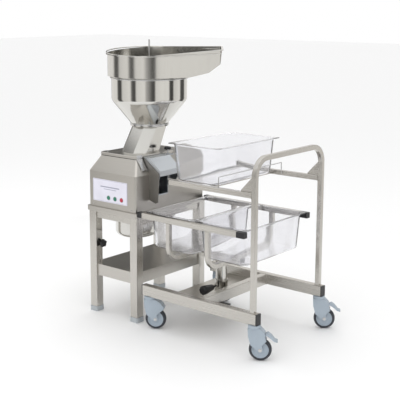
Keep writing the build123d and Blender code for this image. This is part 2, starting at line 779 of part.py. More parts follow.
ear = 8.0
bracket_foot_z = crown_z - (head_left - hinge_x + 6.0) * rise / slope_left + skin
with BuildPart() as housing_brackets:
    for y in lug_places:
        for side in (-1, 1):
            face_y = y + side * (lug_width / 2 + 0.5) + (ear if side > 0 else 0.0)
            with BuildSketch(Plane.XZ.offset(-face_y)):
                with BuildLine():
                    Polyline(
                        (hinge_x - 8.0, hinge_z + 4.0),
                        (hinge_x - 6.0, bracket_foot_z),
                        (head_left - skin, crown_z + skin),
                        (hinge_x + 8.0, hinge_z + 4.0),
                        close=True,
                    )
                make_face()
                with Locations((hinge_x, hinge_z + 4.0)):
                    Circle(8.0)
            extrude(amount=ear)
        with BuildSketch(Plane.XZ.offset(-y - lug_width / 2 - 0.5 - ear - 3.0)):
            with Locations((hinge_x, hinge_z + 4.0)):
                Circle(hinge_pin_radius)
        extrude(amount=lug_width + 1.0 + 2 * ear + 6.0)
    # two small ears and a pin that carry the latch
    for face_y in (latch_centre_y - latch_width / 2 - 0.5, latch_centre_y + latch_width / 2 + 3.5):
        with BuildSketch(Plane.XZ.offset(-face_y)):
            with BuildLine():
                Polyline(
                    (low_x - 7.0 * run / length + nx * skin, low_z + 7.0 * rise / length + nz * skin),
                    (low_x + 7.0 * run / length + nx * skin, low_z - 7.0 * rise / length + nz * skin),
                    (latch_pivot[0] + 5.0 * run / length, latch_pivot[1] - 5.0 * rise / length),
                    (latch_pivot[0] - 5.0 * run / length, latch_pivot[1] + 5.0 * rise / length),
                    close=True,
                )
            make_face()
            with Locations(latch_pivot):
                Circle(5.0)
        extrude(amount=3.0)
    with BuildSketch(Plane.XZ.offset(-latch_centre_y - latch_width / 2 - 4.5)):
        with Locations(latch_pivot):
            Circle(2.5)
    extrude(amount=latch_width + 9.0)
save(housing_brackets.part, "housing_brackets")

with BuildPart() as feed_chute:
    for inset, mode in ((0.0, Mode.ADD), (chute_wall, Mode.SUBTRACT)):
        foot = octagon(machine_x, chute_foot_y, chute_width - 2 * inset, chute_depth - 2 * inset, chute_corner)
        neck = octagon(machine_x, hopper_y, chute_width - 2 * inset, chute_width - 2 * inset, chute_corner)
        with BuildSketch(Plane.XY.offset(head_top_z)):
            with BuildLine():
                Polyline(*foot, close=True)
            make_face()
        with BuildSketch(Plane.XY.offset(neck_z - neck_flange)):
            with BuildLine():
                Polyline(*neck, close=True)
            make_face()
        loft(ruled=True, mode=mode)
    with BuildSketch(Plane.XY.offset(neck_z - neck_flange)):
        with Locations((machine_x, hopper_y)):
            Circle(neck_radius + 5.0)
        with BuildLine():
            Polyline(*neck, close=True)
        make_face(mode=Mode.SUBTRACT)
    extrude(amount=neck_flange)
save(feed_chute.part, "feed_chute")

with BuildPart() as hopper_bowl:
    with BuildSketch(Plane.XZ.offset(-hopper_y)):
        with BuildLine():
            Polyline(
                (machine_x + neck_radius, neck_z),
                (machine_x + bowl_radius, cone_top_z),
                (machine_x + bowl_radius, bowl_top_z),
                (machine_x + bowl_radius - bowl_wall, bowl_top_z),
                (machine_x + bowl_radius - bowl_wall, cone_top_z + bowl_wall / 2),
                (machine_x + neck_radius - bowl_wall * 1.4, neck_z),
                close=True,
            )
        make_face()
    revolve(axis=Axis((machine_x, hopper_y, 0), (0, 0, 1)))
save(hopper_bowl.part, "hopper_bowl")

# The feed tray: a round pan over the bowl, drawn out on one side into a spout.
spout = Plane(
    origin=(machine_x, hopper_y, 0),
    x_dir=(math.cos(math.radians(tray_angle)), math.sin(math.radians(tray_angle)), 0),
    z_dir=(0, 0, 1),
)
spout_side = Plane(origin=(machine_x, hopper_y, 0), x_dir=spout.x_dir, z_dir=(spout.x_dir.Y, -spout.x_dir.X, 0))
rim_plane = Plane(origin=(machine_x, hopper_y, tray_rim_z), x_dir=spout.x_dir, z_dir=(0, 0, 1)).rotated(
    (tray_rim_lean, 0, 0)
)


def tray_block(inset, floor):
    """The tray's plan outline carried up, with a spout floor that climbs in two straight slopes."""
    reach = tray_reach - inset
    with BuildPart() as block:
        with BuildSketch(spout.offset(floor)):
            with BuildSketch(mode=Mode.PRIVATE) as outline:
                Circle(tray_radius - inset)
                with Locations((reach - 20.0, 0)):
                    RectangleRounded(40.0, tray_end_width - 2 * inset, 18.0 - inset)
            make_hull(outline.edges())
        extrude(amount=tray_rim_z - floor + 60.0)
        with BuildSketch(spout_side.offset(-tray_radius - 20.0)):
            with BuildLine():
                Polyline(
                    (-tray_radius - 20.0, floor - 1.0),
                    (bowl_radius + 10.0, floor - 1.0),
                    (bowl_radius + 12.0, floor),
                    (tray_reach - 70.0, floor + 22.0),
                    (reach - 8.0, floor + 66.0),
                    (reach + 20.0, floor + 300.0),
                    (-tray_radius - 20.0, floor + 300.0),
                    close=True,
                )
            make_face()
        extrude(amount=2 * tray_radius + 40.0, mode=Mode.INTERSECT)
    return block.part


tray_outer = tray_block(0.0, bowl_top_z)
tray_inner = tray_block(tray_wall, bowl_top_z + tray_wall)
with BuildPart() as rim_outline:
    with BuildSketch(spout.offset(bowl_top_z)):
        with BuildSketch(mode=Mode.PRIVATE) as rim_edges:
            Circle(tray_radius + tray_rim_width)
            with Locations((tray_reach - 20.0 + tray_rim_width / 2, 0)):
                RectangleRounded(40.0 + tray_rim_width, tray_end_width + 2 * tray_rim_width, 18.0)
        make_hull(rim_edges.edges())
    extrude(amount=300.0)
with BuildPart() as rim_slab:
    with BuildSketch(rim_plane.offset(-tray_rim_thickness)):
        Rectangle(1200.0, 1200.0)
    extrude(amount=tray_rim_thickness)
tray_rim = rim_outline.part & rim_slab.part
with BuildPart() as feed_tray:
    add(tray_outer)
    with BuildSketch(rim_plane):
        Rectangle(1200.0, 1200.0)
    extrude(amount=200.0, mode=Mode.SUBTRACT)
    add(tray_rim)
    add(tray_inner, mode=Mode.SUBTRACT)
    with BuildSketch(Plane.XY.offset(bowl_top_z)):
        with Locations((machine_x, hopper_y)):
            Circle(bowl_radius - bowl_wall)
    extrude(amount=4 * tray_wall, mode=Mode.SUBTRACT)
save(feed_tray.part, "feed_tray")

with BuildPart() as hopper_spider:
    with BuildSketch(Plane.XY.offset(neck_z)):
        with Locations((machine_x, hopper_y)):
            Circle(spider_radius)
            Circle(spider_radius - 6.0, mode=Mode.SUBTRACT)
            Circle(12.0)
            with PolarLocations(spider_radius / 2, 3):
                Rectangle(spider_radius - 6.0, 8.0)
            Circle(rod_radius + shaft_clearance, mode=Mode.SUBTRACT)
    extrude(amount=12.0)
save(hopper_spider.part, "hopper_spider")

with BuildPart() as agitator:
    with BuildSketch(Plane.XY.offset(neck_z - 10.0)):
        with Locations((machine_x, hopper_y)):
            Circle(rod_radius)
    extrude(amount=rod_top_z - neck_z + 10.0)
    with BuildSketch(Plane.XY.offset(neck_z + 14.0)):
        with Locations((machine_x, hopper_y)):
            Circle(14.0)
            with PolarLocations(45.0, 2):
                Rectangle(80.0, 7.0)
    extrude(amount=8.0)
    with BuildSketch(Plane.XY.offset(neck_z + 92.0)):
        with Locations((machine_x, hopper_y)):
            Circle(12.0)
            with PolarLocations(70.0, 2, start_angle=90):
                Rectangle(130.0, 6.0)
    extrude(amount=8.0)
save(agitator.part, "agitator")

# ================================ trolley ========================================================
with BuildPart() as trolley_base:
    with BuildSketch(Plane.YZ.offset(base_start)):
        for y in (front_line, back_line):
            tube_section(y, base_bottom_z + base_height / 2, base_width, base_height, base_wall, 3.0)
    extrude(amount=base_end - base_start)
    with BuildSketch(Plane.XZ.offset(-back_line + base_width / 2)):
        tube_section(crossbar_x, base_bottom_z + base_height / 2, crossbar_width, base_height, base_wall, 3.0)
    extrude(amount=stem_span_y - base_width)
save(trolley_base.part, "trolley_base")

sleeve_radius = column_radius + column_gap + sleeve_wall
with BuildPart() as column_deck:
    with BuildSketch(Plane.XY.offset(base_bottom_z)):
        with Locations(((deck_start + deck_end) / 2, trolley_y)):
            Rectangle(deck_width, stem_span_y - base_width)
        with Locations((column_x, trolley_y)):
            Circle(sleeve_radius, mode=Mode.SUBTRACT)
    extrude(amount=deck_sheet)
    # two ears and a pin under the deck for the lift pedal
    for y in (pedal_back_y - lift_pedal_width - pedal_gap, pedal_back_y + pedal_ear + pedal_gap):
        with BuildSketch(Plane.XZ.offset(-y)):
            with Locations((pedal_pivot_x, base_bottom_z - 9.0)):
                Rectangle(16.0, 18.0)
            with Locations((pedal_pivot_x, pedal_pivot_z)):
                Circle(8.0)
        extrude(amount=pedal_ear)
    with BuildSketch(Plane.XZ.offset(-pedal_back_y - pedal_ear - pedal_gap)):
        with Locations((pedal_pivot_x, pedal_pivot_z)):
            Circle(pedal_pin_radius)
    extrude(amount=lift_pedal_width + 2 * pedal_ear + 2 * pedal_gap)
save(column_deck.part, "column_deck")

boss_length = 8.0
knob_x = column_x - 10.0
boss_face_y = trolley_y - sleeve_radius - boss_length + 2.0
with BuildPart() as column_sleeve:
    with BuildSketch(Plane.XY.offset(sleeve_bottom_z)):
        with Locations((column_x, trolley_y)):
            Circle(sleeve_radius)
    extrude(amount=sleeve_top_z - sleeve_bottom_z)
    # boss for the hand knob
    with BuildSketch(Plane.XZ.offset(-boss_face_y)):
        with Locations((knob_x, column_knob_z)):
            Circle(11.0)
    extrude(amount=-boss_length - 4.0)
    with BuildSketch(Plane.XZ.offset(-boss_face_y)):
        with Locations((knob_x, column_knob_z)):
            Circle(5.0 + hinge_clearance)
    extrude(amount=-boss_length - 6.0, mode=Mode.SUBTRACT)
    with BuildSketch(Plane.XY.offset(sleeve_bottom_z)):
        with Locations((column_x, trolley_y)):
            Circle(column_radius + column_gap)
    extrude(amount=sleeve_top_z - sleeve_bottom_z, mode=Mode.SUBTRACT)
save(column_sleeve.part, "column_sleeve")

grip_y = 157.0             # where the grip begins, in front of the sleeve
with BuildPart() as column_knob:
    with BuildSketch(Plane.XZ.offset(-grip_y)):
        with Locations((knob_x, column_knob_z)):
            Circle(5.0)
    extrude(amount=-(boss_face_y + 4.0 - grip_y))
    with BuildSketch(Plane.YZ.offset(knob_x)):
        with BuildLine():
            Polyline(
                (grip_y, column_knob_z),
                (grip_y, column_knob_z + 10.0),
                (grip_y - 16.0, column_knob_z + 20.0),
                (grip_y - 28.0, column_knob_z + column_knob_radius),
                (grip_y - 38.0, column_knob_z + column_knob_radius - 2.0),
                (grip_y - 46.0, column_knob_z + 14.0),
                (grip_y - 48.0, column_knob_z),
                close=True,
            )
        make_face()
    revolve(axis=Axis((knob_x, 0, column_knob_z), (0, 1, 0)))
save(column_knob.part, "column_knob")

with BuildPart() as trolley_plugs:
    with BuildSketch(Plane.YZ.offset(base_end)):
        for y in (front_line, back_line):
            with Locations((y, base_bottom_z + base_height / 2)):
                RectangleRounded(base_width, base_height, 3.0)
    extrude(amount=plug_thickness)
    with BuildSketch(Plane.YZ.offset(base_start - plug_thickness)):
        for y in (front_line, back_line):
            with Locations((y, base_bottom_z + base_height / 2)):
                RectangleRounded(base_width, base_height, 3.0)
    extrude(amount=plug_thickness)
    with BuildSketch(Plane.YZ.offset(upper_rail_start - plug_thickness)):
        for y in (front_line, back_line):
            with Locations((y, upper_rail_z)):
                RectangleRounded(upright, upright, 3.0)
    extrude(amount=plug_thickness)
save(trolley_plugs.part, "trolley_plugs")

with BuildPart() as push_handle:
    with BuildLine():
        FilletPolyline(
            (upright_x, front_line, base_top_z),
            (upright_x, front_line, handle_z),
            (upright_x, back_line, handle_z),
            (upright_x, back_line, base_top_z),
            radius=handle_radius,
        )
    with BuildSketch(Plane.XY.offset(base_top_z)):
        tube_section(upright_x, front_line, upright, upright, upright_wall, 3.0)
    sweep()
save(push_handle.part, "push_handle")

bail_x = upper_pan_x + pan_width + 6.0
bail_low_z = upper_rail_z
gusset_z = upper_rail_z + upright / 2
with BuildPart() as upper_frame:
    with BuildSketch(Plane.YZ.offset(upper_rail_start)):
        for y in (front_line, back_line):
            tube_section(y, upper_rail_z, upright, upright, upright_wall, 3.0)
    extrude(amount=upper_rail_end - upper_rail_start)
    # cross bars under the upper pan
    with BuildSketch(Plane.XY.offset(upper_rail_z - upright / 2 + bar_lift)):
        for x in (upper_pan_x + 75.0, upper_pan_x + pan_width - 65.0):
            with Locations((x, trolley_y)):
                Rectangle(bar_width, stem_span_y - upright)
    extrude(amount=bar_thickness)
    # gussets that brace the rails against the uprights
    for y in (front_line, back_line):
        with BuildSketch(Plane.XZ.offset(-y - gusset_sheet / 2)):
            with BuildLine():
                Polyline(
                    (upper_rail_end - gusset_run, gusset_z),
                    (upper_rail_end, gusset_z),
                    (upper_rail_end, gusset_z + gusset_rise),
                    (upper_rail_end - 6.0, gusset_z + gusset_rise),
                    (upper_rail_end - gusset_run, gusset_z + 6.0),
                    close=True,
                )
            make_face()
        extrude(amount=gusset_sheet)
    # holes for the ends of the wire bail
    with BuildSketch(Plane.XZ.offset(-back_line + upright / 2 - upright_wall)):
        with Locations((bail_x, bail_low_z)):
            Circle(bail_wire / 2 + hinge_clearance)
    extrude(amount=stem_span_y - upright + 2 * upright_wall, mode=Mode.SUBTRACT)
save(upper_frame.part, "upper_frame")

bail_top_z = upper_rail_z + upright / 2 + bail_rise
bail_front = front_line + upright / 2 + 4.0
bail_back = back_line - upright / 2 - 4.0
with BuildPart() as pan_bail:
    with BuildLine():
        FilletPolyline(
            (bail_x, bail_front - bail_reach, bail_low_z),
            (bail_x, bail_front + 4.0, bail_low_z),
            (bail_x, bail_front + 4.0, bail_top_z),
            (bail_x, bail_back - 4.0, bail_top_z),
            (bail_x, bail_back - 4.0, bail_low_z),
            (bail_x, bail_back + bail_reach, bail_low_z),
            radius=3.0,
        )
    with BuildSketch(Plane.XZ.offset(-bail_front + bail_reach)):
        with Locations((bail_x, bail_low_z)):
            Circle(bail_wire / 2)
    sweep()
save(pan_bail.part, "pan_bail")

# ================================ lower tier =====================================================
with BuildPart() as tier_rails:
    with BuildSketch(Plane.YZ.offset(tier_start + tier_cap_left)):
        for y in tier_lines:
            tube_section(y, tier_rail_z, tier_rail, tier_rail, tier_wall, 3.0)
    extrude(amount=tier_end - tier_start - tier_cap_left - tier_cap_right)
save(tier_rails.part, "tier_rails")

with BuildPart() as tier_plugs:
    for x, cap_length in ((tier_start, tier_cap_left), (tier_end - tier_cap_right, tier_cap_right)):
        with BuildSketch(Plane.YZ.offset(x)):
            for y in tier_lines:
                with Locations((y, tier_rail_z)):
                    RectangleRounded(tier_rail, tier_rail, 3.0)
        extrude(amount=cap_length)
save(tier_plugs.part, "tier_plugs")

hoop_top_z = tier_rail_z - tier_rail / 2
for hoop_name, x in (("left_hoop", hoop_first_x), ("right_hoop", hoop_first_x + hoop_span)):
    with BuildPart() as hoop:
        with BuildLine():
            FilletPolyline(
                (x, tier_lines[0], hoop_top_z),
                (x, tier_lines[0], hoop_bottom_z),
                (x, tier_lines[1], hoop_bottom_z),
                (x, tier_lines[1], hoop_top_z),
                radius=hoop_radius,
            )
        with BuildSketch(Plane.XY.offset(hoop_top_z)):
            tube_section(x, tier_lines[0], hoop_tube, hoop_tube, hoop_wall, 4.0)
        sweep()
    save(hoop.part, hoop_name)

spreader_top_z = hoop_bottom_z - hoop_tube / 2
with BuildPart() as spreader:
    with BuildSketch(Plane.YZ.offset(hoop_first_x - hoop_tube / 2)):
        tube_section(trolley_y, spreader_top_z - spreader_height / 2, spreader_width, spreader_height, 2.0, 3.0)
    extrude(amount=hoop_span + hoop_tube)
save(spreader.part, "spreader")

with BuildPart() as lift_column:
    with BuildSketch(Plane.XY.offset(column_foot_z)):
        with Locations((column_x, trolley_y)):
            Circle(column_radius)
            Circle(column_radius - column_wall, mode=Mode.SUBTRACT)
    extrude(amount=spreader_top_z - spreader_height - column_foot_z)
save(lift_column.part, "lift_column")

with BuildPart() as lift_pedal:
    with BuildSketch(Plane.XZ.offset(-pedal_back_y)):
        with Locations((pedal_pivot_x, pedal_pivot_z)):
            Circle(7.0)
        with BuildLine():
            Polyline(
                (pedal_pivot_x, pedal_pivot_z + 3.0),
                (pedal_pivot_x - 20.0, pedal_pivot_z + 1.0),
                (pedal_pivot_x - 20.0, pedal_pivot_z - 4.0),
                (pedal_pivot_x, pedal_pivot_z - 5.0),
                (pedal_pivot_x + 50.0, pedal_pivot_z - 6.0),
                (pedal_pivot_x + 78.0, pedal_pivot_z - 3.0),
                (pedal_pivot_x + 78.0, pedal_pivot_z + 4.0),
                (pedal_pivot_x + 50.0, pedal_pivot_z + 2.0),
                close=True,
            )
        make_face()
        with Locations((pedal_pivot_x, pedal_pivot_z)):
            Circle(pedal_pin_radius + hinge_clearance, mode=Mode.SUBTRACT)
    extrude(amount=lift_pedal_width)
save(lift_pedal.part, "lift_pedal")

# ================================ pans ===========================================================


def pan_body(x, top_z, inset):
    """A pan's tapered body, or its hollow when inset by the wall, hung from its rim's top at top_z."""
    centre = (x + pan_width / 2, trolley_y)
    top_w, top_l = pan_width - 2 * pan_ledge - 2 * inset, pan_length - 2 * pan_ledge - 2 * inset
    low_w, low_l = top_w - 2 * pan_taper, top_l - 2 * pan_taper
    bottom_z = top_z - pan_depth + inset
    with BuildPart() as body:
        with BuildSketch(Plane.XY.offset(bottom_z)):
            with Locations(centre):
                RectangleRounded(low_w, low_l, pan_body_corner - inset)
        with BuildSketch(Plane.XY.offset(top_z)):
            with Locations(centre):
                RectangleRounded(top_w, top_l, pan_body_corner - inset)
        loft(ruled=True)
        fillet(body.faces().sort_by(Axis.Z)[0].edges(), 16.0 - inset)
    return body.part


pans = {
    "upper_pan": (upper_pan_x, upper_pan_z),
    "lower_left_pan": (left_pan_x, tier_pan_z),
    "lower_right_pan": (right_pan_x, tier_pan_z),
}
for pan_name, (x, top_z) in pans.items():
    outer = pan_body(x, top_z, 0.0)
    inner = pan_body(x, top_z, pan_wall)
    with BuildPart() as pan:
        with BuildSketch(Plane.XY.offset(top_z - pan_rim)):
            with Locations((x + pan_width / 2, trolley_y)):
                RectangleRounded(pan_width, pan_length, pan_rim_corner)
        extrude(amount=pan_rim)
        add(outer)
        add(inner, mode=Mode.SUBTRACT)
    save(pan.part, pan_name)

# ================================ casters ========================================================
swivel_low_z = base_bottom_z - swivel_height
with BuildPart() as caster_cups:
    with BuildSketch(Plane.XY.offset(swivel_low_z)):
        for x in (stem_first_x, stem_last_x):
            for y in (front_line, back_line):
                with Locations((x, y)):
                    Circle(swivel_radius)
    extrude(amount=swivel_height)
save(caster_cups.part, "caster_cups")

crown_top_z = swivel_low_z - swivel_gap
casters = {
    "front_left": (stem_first_x, front_line, False),
    "back_left": (stem_first_x, back_line, False),
    "front_right": (stem_last_x, front_line, True),
    "back_right": (stem_last_x, back_line, True),
}
trail_dir = (math.cos(math.radians(swivel_angle)), math.sin(math.radians(swivel_angle)), 0)
fork_hinge = (swivel_radius + 28.5, crown_bottom_z + 13.0)
fork_back = [
    (caster_trail + 13.0, wheel_z - 2.0),
    (caster_trail + 6.0, wheel_z - 12.0),
    (caster_trail - 8.0, wheel_z - 10.0),
    (-swivel_radius + 14.0, wheel_z + 24.0),
    (-swivel_radius + 2.0, crown_bottom_z + 4.0),
    (-swivel_radius, crown_top_z),
    (swivel_radius + 2.0, crown_top_z),
]
plain_fork = fork_back + [(60.0, 142.0), (78.0, 117.0), (72.0, 109.0), (38.0, 80.0)]
braked_fork = fork_back + [(53.0, 139.0), (53.0, 121.0), (60.0, 101.0), (54.0, 95.0), (38.0, 78.0)]
for place, (x, y, braked) in casters.items():
    # upright plane through the swivel axis, along the trail; its normal points to the caster's near side
    side = Plane(origin=(x, y, 0), x_dir=trail_dir, z_dir=(trail_dir[1], -trail_dir[0], 0))
    with BuildPart() as fork:
        with BuildSketch(side.offset(-fork_width / 2)):
            with BuildLine():
                Polyline(*(braked_fork if braked else plain_fork), close=True)
            make_face()
            with Locations((caster_trail, wheel_z)):
                Circle(13.0)
        extrude(amount=fork_width)
        with BuildSketch(side.offset(-fork_width / 2 + fork_plate)):
            with Locations((caster_trail, wheel_z)):
                Circle(crown_bottom_z - wheel_z + 2.0)
        extrude(amount=fork_width - 2 * fork_plate, mode=Mode.SUBTRACT)
        with BuildSketch(side.offset(-fork_width / 2 - 3.0)):
            with Locations((caster_trail, wheel_z)):
                Circle(axle_radius)
        extrude(amount=fork_width + 6.0)
    save(fork.part, f"caster_fork_{place}")
    with BuildPart() as wheel:
        with BuildSketch(side.offset(-wheel_width / 2)):
            with Locations((caster_trail, wheel_z)):
                Circle(wheel_radius)
                Circle(wheel_radius - tyre_depth, mode=Mode.SUBTRACT)
        extrude(amount=wheel_width)
        chamfer(wheel.edges().filter_by(GeomType.CIRCLE).group_by(SortBy.RADIUS)[-1], 5.0)
        with BuildSketch(side.offset(-wheel_width / 2 + 3.0)):
            with Locations((caster_trail, wheel_z)):
                Circle(wheel_radius - tyre_depth)
        extrude(amount=wheel_width - 6.0)
        with BuildSketch(side.offset(-hub_width / 2)):
            with Locations((caster_trail, wheel_z)):
                Circle(hub_radius)
        extrude(amount=hub_width)
        with BuildSketch(side.offset(-hub_width / 2)):
            with Locations((caster_trail, wheel_z)):
                Circle(axle_radius + axle_clearance)
        extrude(amount=hub_width, mode=Mode.SUBTRACT)
    save(wheel.part, f"caster_wheel_{place}")
    if braked:
        with BuildPart() as pedal:
            with BuildSketch(side.offset(-pedal_width / 2)):
                with BuildLine():
                    Polyline(
                        (fork_hinge[0] - 3.0, fork_hinge[1] + 4.0),
                        (fork_hinge[0] + 8.0, fork_hinge[1] + 8.0),
                        (fork_hinge[0] + 24.0, fork_hinge[1] - 4.0),
                        (fork_hinge[0] + 40.0, fork_hinge[1] - 24.0),
                        (pedal_reach, fork_hinge[1] - 29.0),
                        (pedal_reach, fork_hinge[1] - 35.0),
                        (fork_hinge[0] + 36.0, fork_hinge[1] - 31.0),
                        (fork_hinge[0] + 16.0, fork_hinge[1] - 13.0),
                        (fork_hinge[0], fork_hinge[1] - 4.0),
                        close=True,
                    )
                make_face()
                with Locations(fork_hinge):
                    Circle(5.0)
            extrude(amount=pedal_width)
        save(pedal.part, f"brake_pedal_{place}")
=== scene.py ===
"""Visual model of a vegetable preparation machine with its docked pan trolley.

The machine's frame comes packed from CAD. This script dresses the frame in brushed and polished
stainless steel, clear polycarbonate and moulded plastic, adds the finely shaped pieces, and sets up
a plain pale studio.
"""

import json
import logging
import math
from dataclasses import dataclass, field
from enum import Enum

import bmesh
import bpy
import numpy as np
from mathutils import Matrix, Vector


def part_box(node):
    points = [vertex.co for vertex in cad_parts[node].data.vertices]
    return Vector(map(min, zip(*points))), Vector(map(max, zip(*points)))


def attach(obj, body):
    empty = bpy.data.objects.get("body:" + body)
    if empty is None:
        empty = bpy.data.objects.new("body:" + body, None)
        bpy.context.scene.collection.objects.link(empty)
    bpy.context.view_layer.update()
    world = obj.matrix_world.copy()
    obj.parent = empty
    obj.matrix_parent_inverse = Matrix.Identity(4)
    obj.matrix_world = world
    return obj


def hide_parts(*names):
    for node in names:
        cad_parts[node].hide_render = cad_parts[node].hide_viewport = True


logging.basicConfig(level=logging.INFO, format="%(message)s")
log = logging.getLogger("scene")

MM = 0.001

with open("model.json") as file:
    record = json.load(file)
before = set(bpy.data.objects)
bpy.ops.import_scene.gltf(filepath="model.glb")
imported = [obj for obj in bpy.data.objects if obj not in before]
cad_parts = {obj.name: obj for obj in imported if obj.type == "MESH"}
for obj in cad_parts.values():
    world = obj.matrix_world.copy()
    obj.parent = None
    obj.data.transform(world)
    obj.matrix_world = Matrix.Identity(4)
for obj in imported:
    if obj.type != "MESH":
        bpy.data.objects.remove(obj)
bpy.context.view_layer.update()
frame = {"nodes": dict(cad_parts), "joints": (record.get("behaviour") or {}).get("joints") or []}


# ================================ meshes ==========================================================


def local_frame(origin: tuple, axis: tuple, lead: tuple = (1.0, 0.0, 0.0)) -> np.ndarray:
    """Builds a right-handed frame whose third axis is the given one.

    Args:
        origin: the frame's origin, in metres.
        axis: direction of the third axis.
        lead: direction that the first axis leans towards.

    Returns:
        A 3 x 4 matrix: the three axes as columns, then the origin.
    """
    w = np.asarray(axis, float)
    w /= np.linalg.norm(w)
    u = np.asarray(lead, float)
    u = u - w * (u @ w)
    if np.linalg.norm(u) < 1e-6:
        u = np.cross(w, (0.0, 1.0, 0.0))
    u /= np.linalg.norm(u)
    return np.column_stack([u, np.cross(w, u), w, np.asarray(origin, float)])


def placed(points: np.ndarray, where: np.ndarray) -> np.ndarray:
    """Carries points, given along a frame's axes, into the row frame."""
    return points @ where[:, :3].T + where[:, 3]


def skin_faces(rows: int, cols: int, capped: bool, looped: bool) -> list:
    """Faces of a grid whose rows are closed loops.

    Args:
        rows: number of loops.
        cols: number of points in each loop.
        capped: whether the first and last loops are filled in.
        looped: whether the last loop joins the first.

    Returns:
        The faces, as tuples of point numbers.
    """
    count = rows if looped else rows - 1
    i, j = np.meshgrid(np.arange(count), np.arange(cols), indexing="ij")
    k, nxt = (j + 1) % cols, (i + 1) % rows
    quads = np.stack([i * cols + j, i * cols + k, nxt * cols + k, nxt * cols + j], -1).reshape(-1, 4)
    faces = [tuple(q) for q in quads.tolist()]
    if capped and not looped:
        faces.append(tuple(range(cols - 1, -1, -1)))
        faces.append(tuple(range((rows - 1) * cols, rows * cols)))
    return faces


def rounded_profile(points: np.ndarray, radius: float, steps: int = 5) -> np.ndarray:
    """Rounds the inner corners of an open line: each corner becomes a quadratic arc.

    The arc runs from the point a radius before the corner to the point a radius after it.

    Args:
        points: the line's corners, one per row.
        radius: length taken off each side of a corner, at most 0.45 of the side.
        steps: points on each arc.

    Returns:
        The rounded line's points.
    """
    p = np.asarray(points, float)
    before, corner, after = p[:-2], p[1:-1], p[2:]
    to_b, to_a = before - corner, after - corner
    len_b = np.linalg.norm(to_b, axis=1, keepdims=True)
    len_a = np.linalg.norm(to_a, axis=1, keepdims=True)
    start = corner + to_b / len_b * np.minimum(radius, 0.45 * len_b)
    end = corner + to_a / len_a * np.minimum(radius, 0.45 * len_a)
    t = np.linspace(0.0, 1.0, steps)[None, :, None]
    arcs = (1 - t) ** 2 * start[:, None] + 2 * t * (1 - t) * corner[:, None] + t**2 * end[:, None]
    return np.vstack([p[:1], arcs.reshape(-1, p.shape[1]), p[-1:]])


def turned(
    profile: np.ndarray, where: np.ndarray, sides: int = 48, lobes: int = 0, depth: float = 0.0
) -> np.ndarray:
    """Turns a profile about a frame's third axis.

    A point is (r cos a, r sin a, h), and with lobes r is r (1 + depth cos(lobes a)) times the third
    column of the profile, which says how much of the lobes that row has.

    Args:
        profile: rows of radius, height and, where lobed, the share of the lobes.
        where: the frame to turn in.
        sides: points round the axis.
        lobes: number of lobes.
        depth: height of a lobe as a share of the radius.

    Returns:
        Points as rows x sides x 3.
    """
    a = np.linspace(0.0, 2 * np.pi, sides, endpoint=False)
    share = profile[:, 2:3] if profile.shape[1] > 2 else np.zeros((len(profile), 1))
    r = profile[:, 0:1] * (1.0 + depth * share * np.cos(lobes * a)[None, :])
    h = np.repeat(profile[:, 1:2], sides, axis=1)
    grid = np.stack([r * np.cos(a), r * np.sin(a), h], -1)
    return placed(grid.reshape(-1, 3), where).reshape(len(profile), sides, 3)


def rounded_box_loop(
    half_x: np.ndarray, half_y: np.ndarray, corner: np.ndarray, steps: int = 10
) -> np.ndarray:
    """Plan outline of a rounded rectangle, one for each row of sizes.

    Each corner is an arc of its radius, centred in from both sides by that radius.

    Args:
        half_x: half widths, one per row.
        half_y: half depths, one per row.
        corner: corner radii, one per row.
        steps: points on each corner.

    Returns:
        Points as rows x (4 steps) x 2, anticlockwise.
    """
    a = np.linspace(0.0, np.pi / 2, steps)
    turn = np.concatenate([a + q * np.pi / 2 for q in range(4)])
    sx = np.repeat([1.0, -1.0, -1.0, 1.0], steps)
    sy = np.repeat([1.0, 1.0, -1.0, -1.0], steps)
    cx = (half_x - corner)[:, None] * sx + corner[:, None] * np.cos(turn)
    cy = (half_y - corner)[:, None] * sy + corner[:, None] * np.sin(turn)
    return np.stack([cx, cy], -1)


def tube_grid(path: np.ndarray, radius: np.ndarray, sides: int, looped: bool) -> np.ndarray:
    """Carries a circle along a path.

    At each point the circle lies square to the path's direction there. Its first axis is square to
    the direction and to the path's overall normal, so a flat path isn't twisted.

    Args:
        path: the path's points.
        radius: the circle's radius at each point.
        sides: points round the circle.
        looped: whether the path closes on itself.

    Returns:
        Points as rows x sides x 3.
    """
    if looped:
        ahead, back = np.roll(path, -1, 0), np.roll(path, 1, 0)
    else:
        ahead, back = np.vstack([path[1:], path[-1:]]), np.vstack([path[:1], path[:-1]])
    along = ahead - back
    along /= np.linalg.norm(along, axis=1, keepdims=True)
    centred = path - path.mean(0)
    normal = np.linalg.svd(centred, full_matrices=False)[2][-1]
    u = np.cross(along, normal)
    u /= np.maximum(np.linalg.norm(u, axis=1, keepdims=True), 1e-9)
    v = np.cross(along, u)
    a = np.linspace(0.0, 2 * np.pi, sides, endpoint=False)
    ring = np.cos(a)[None, :, None] * u[:, None] + np.sin(a)[None, :, None] * v[:, None]
    return path[:, None] + ring * radius[:, None, None]


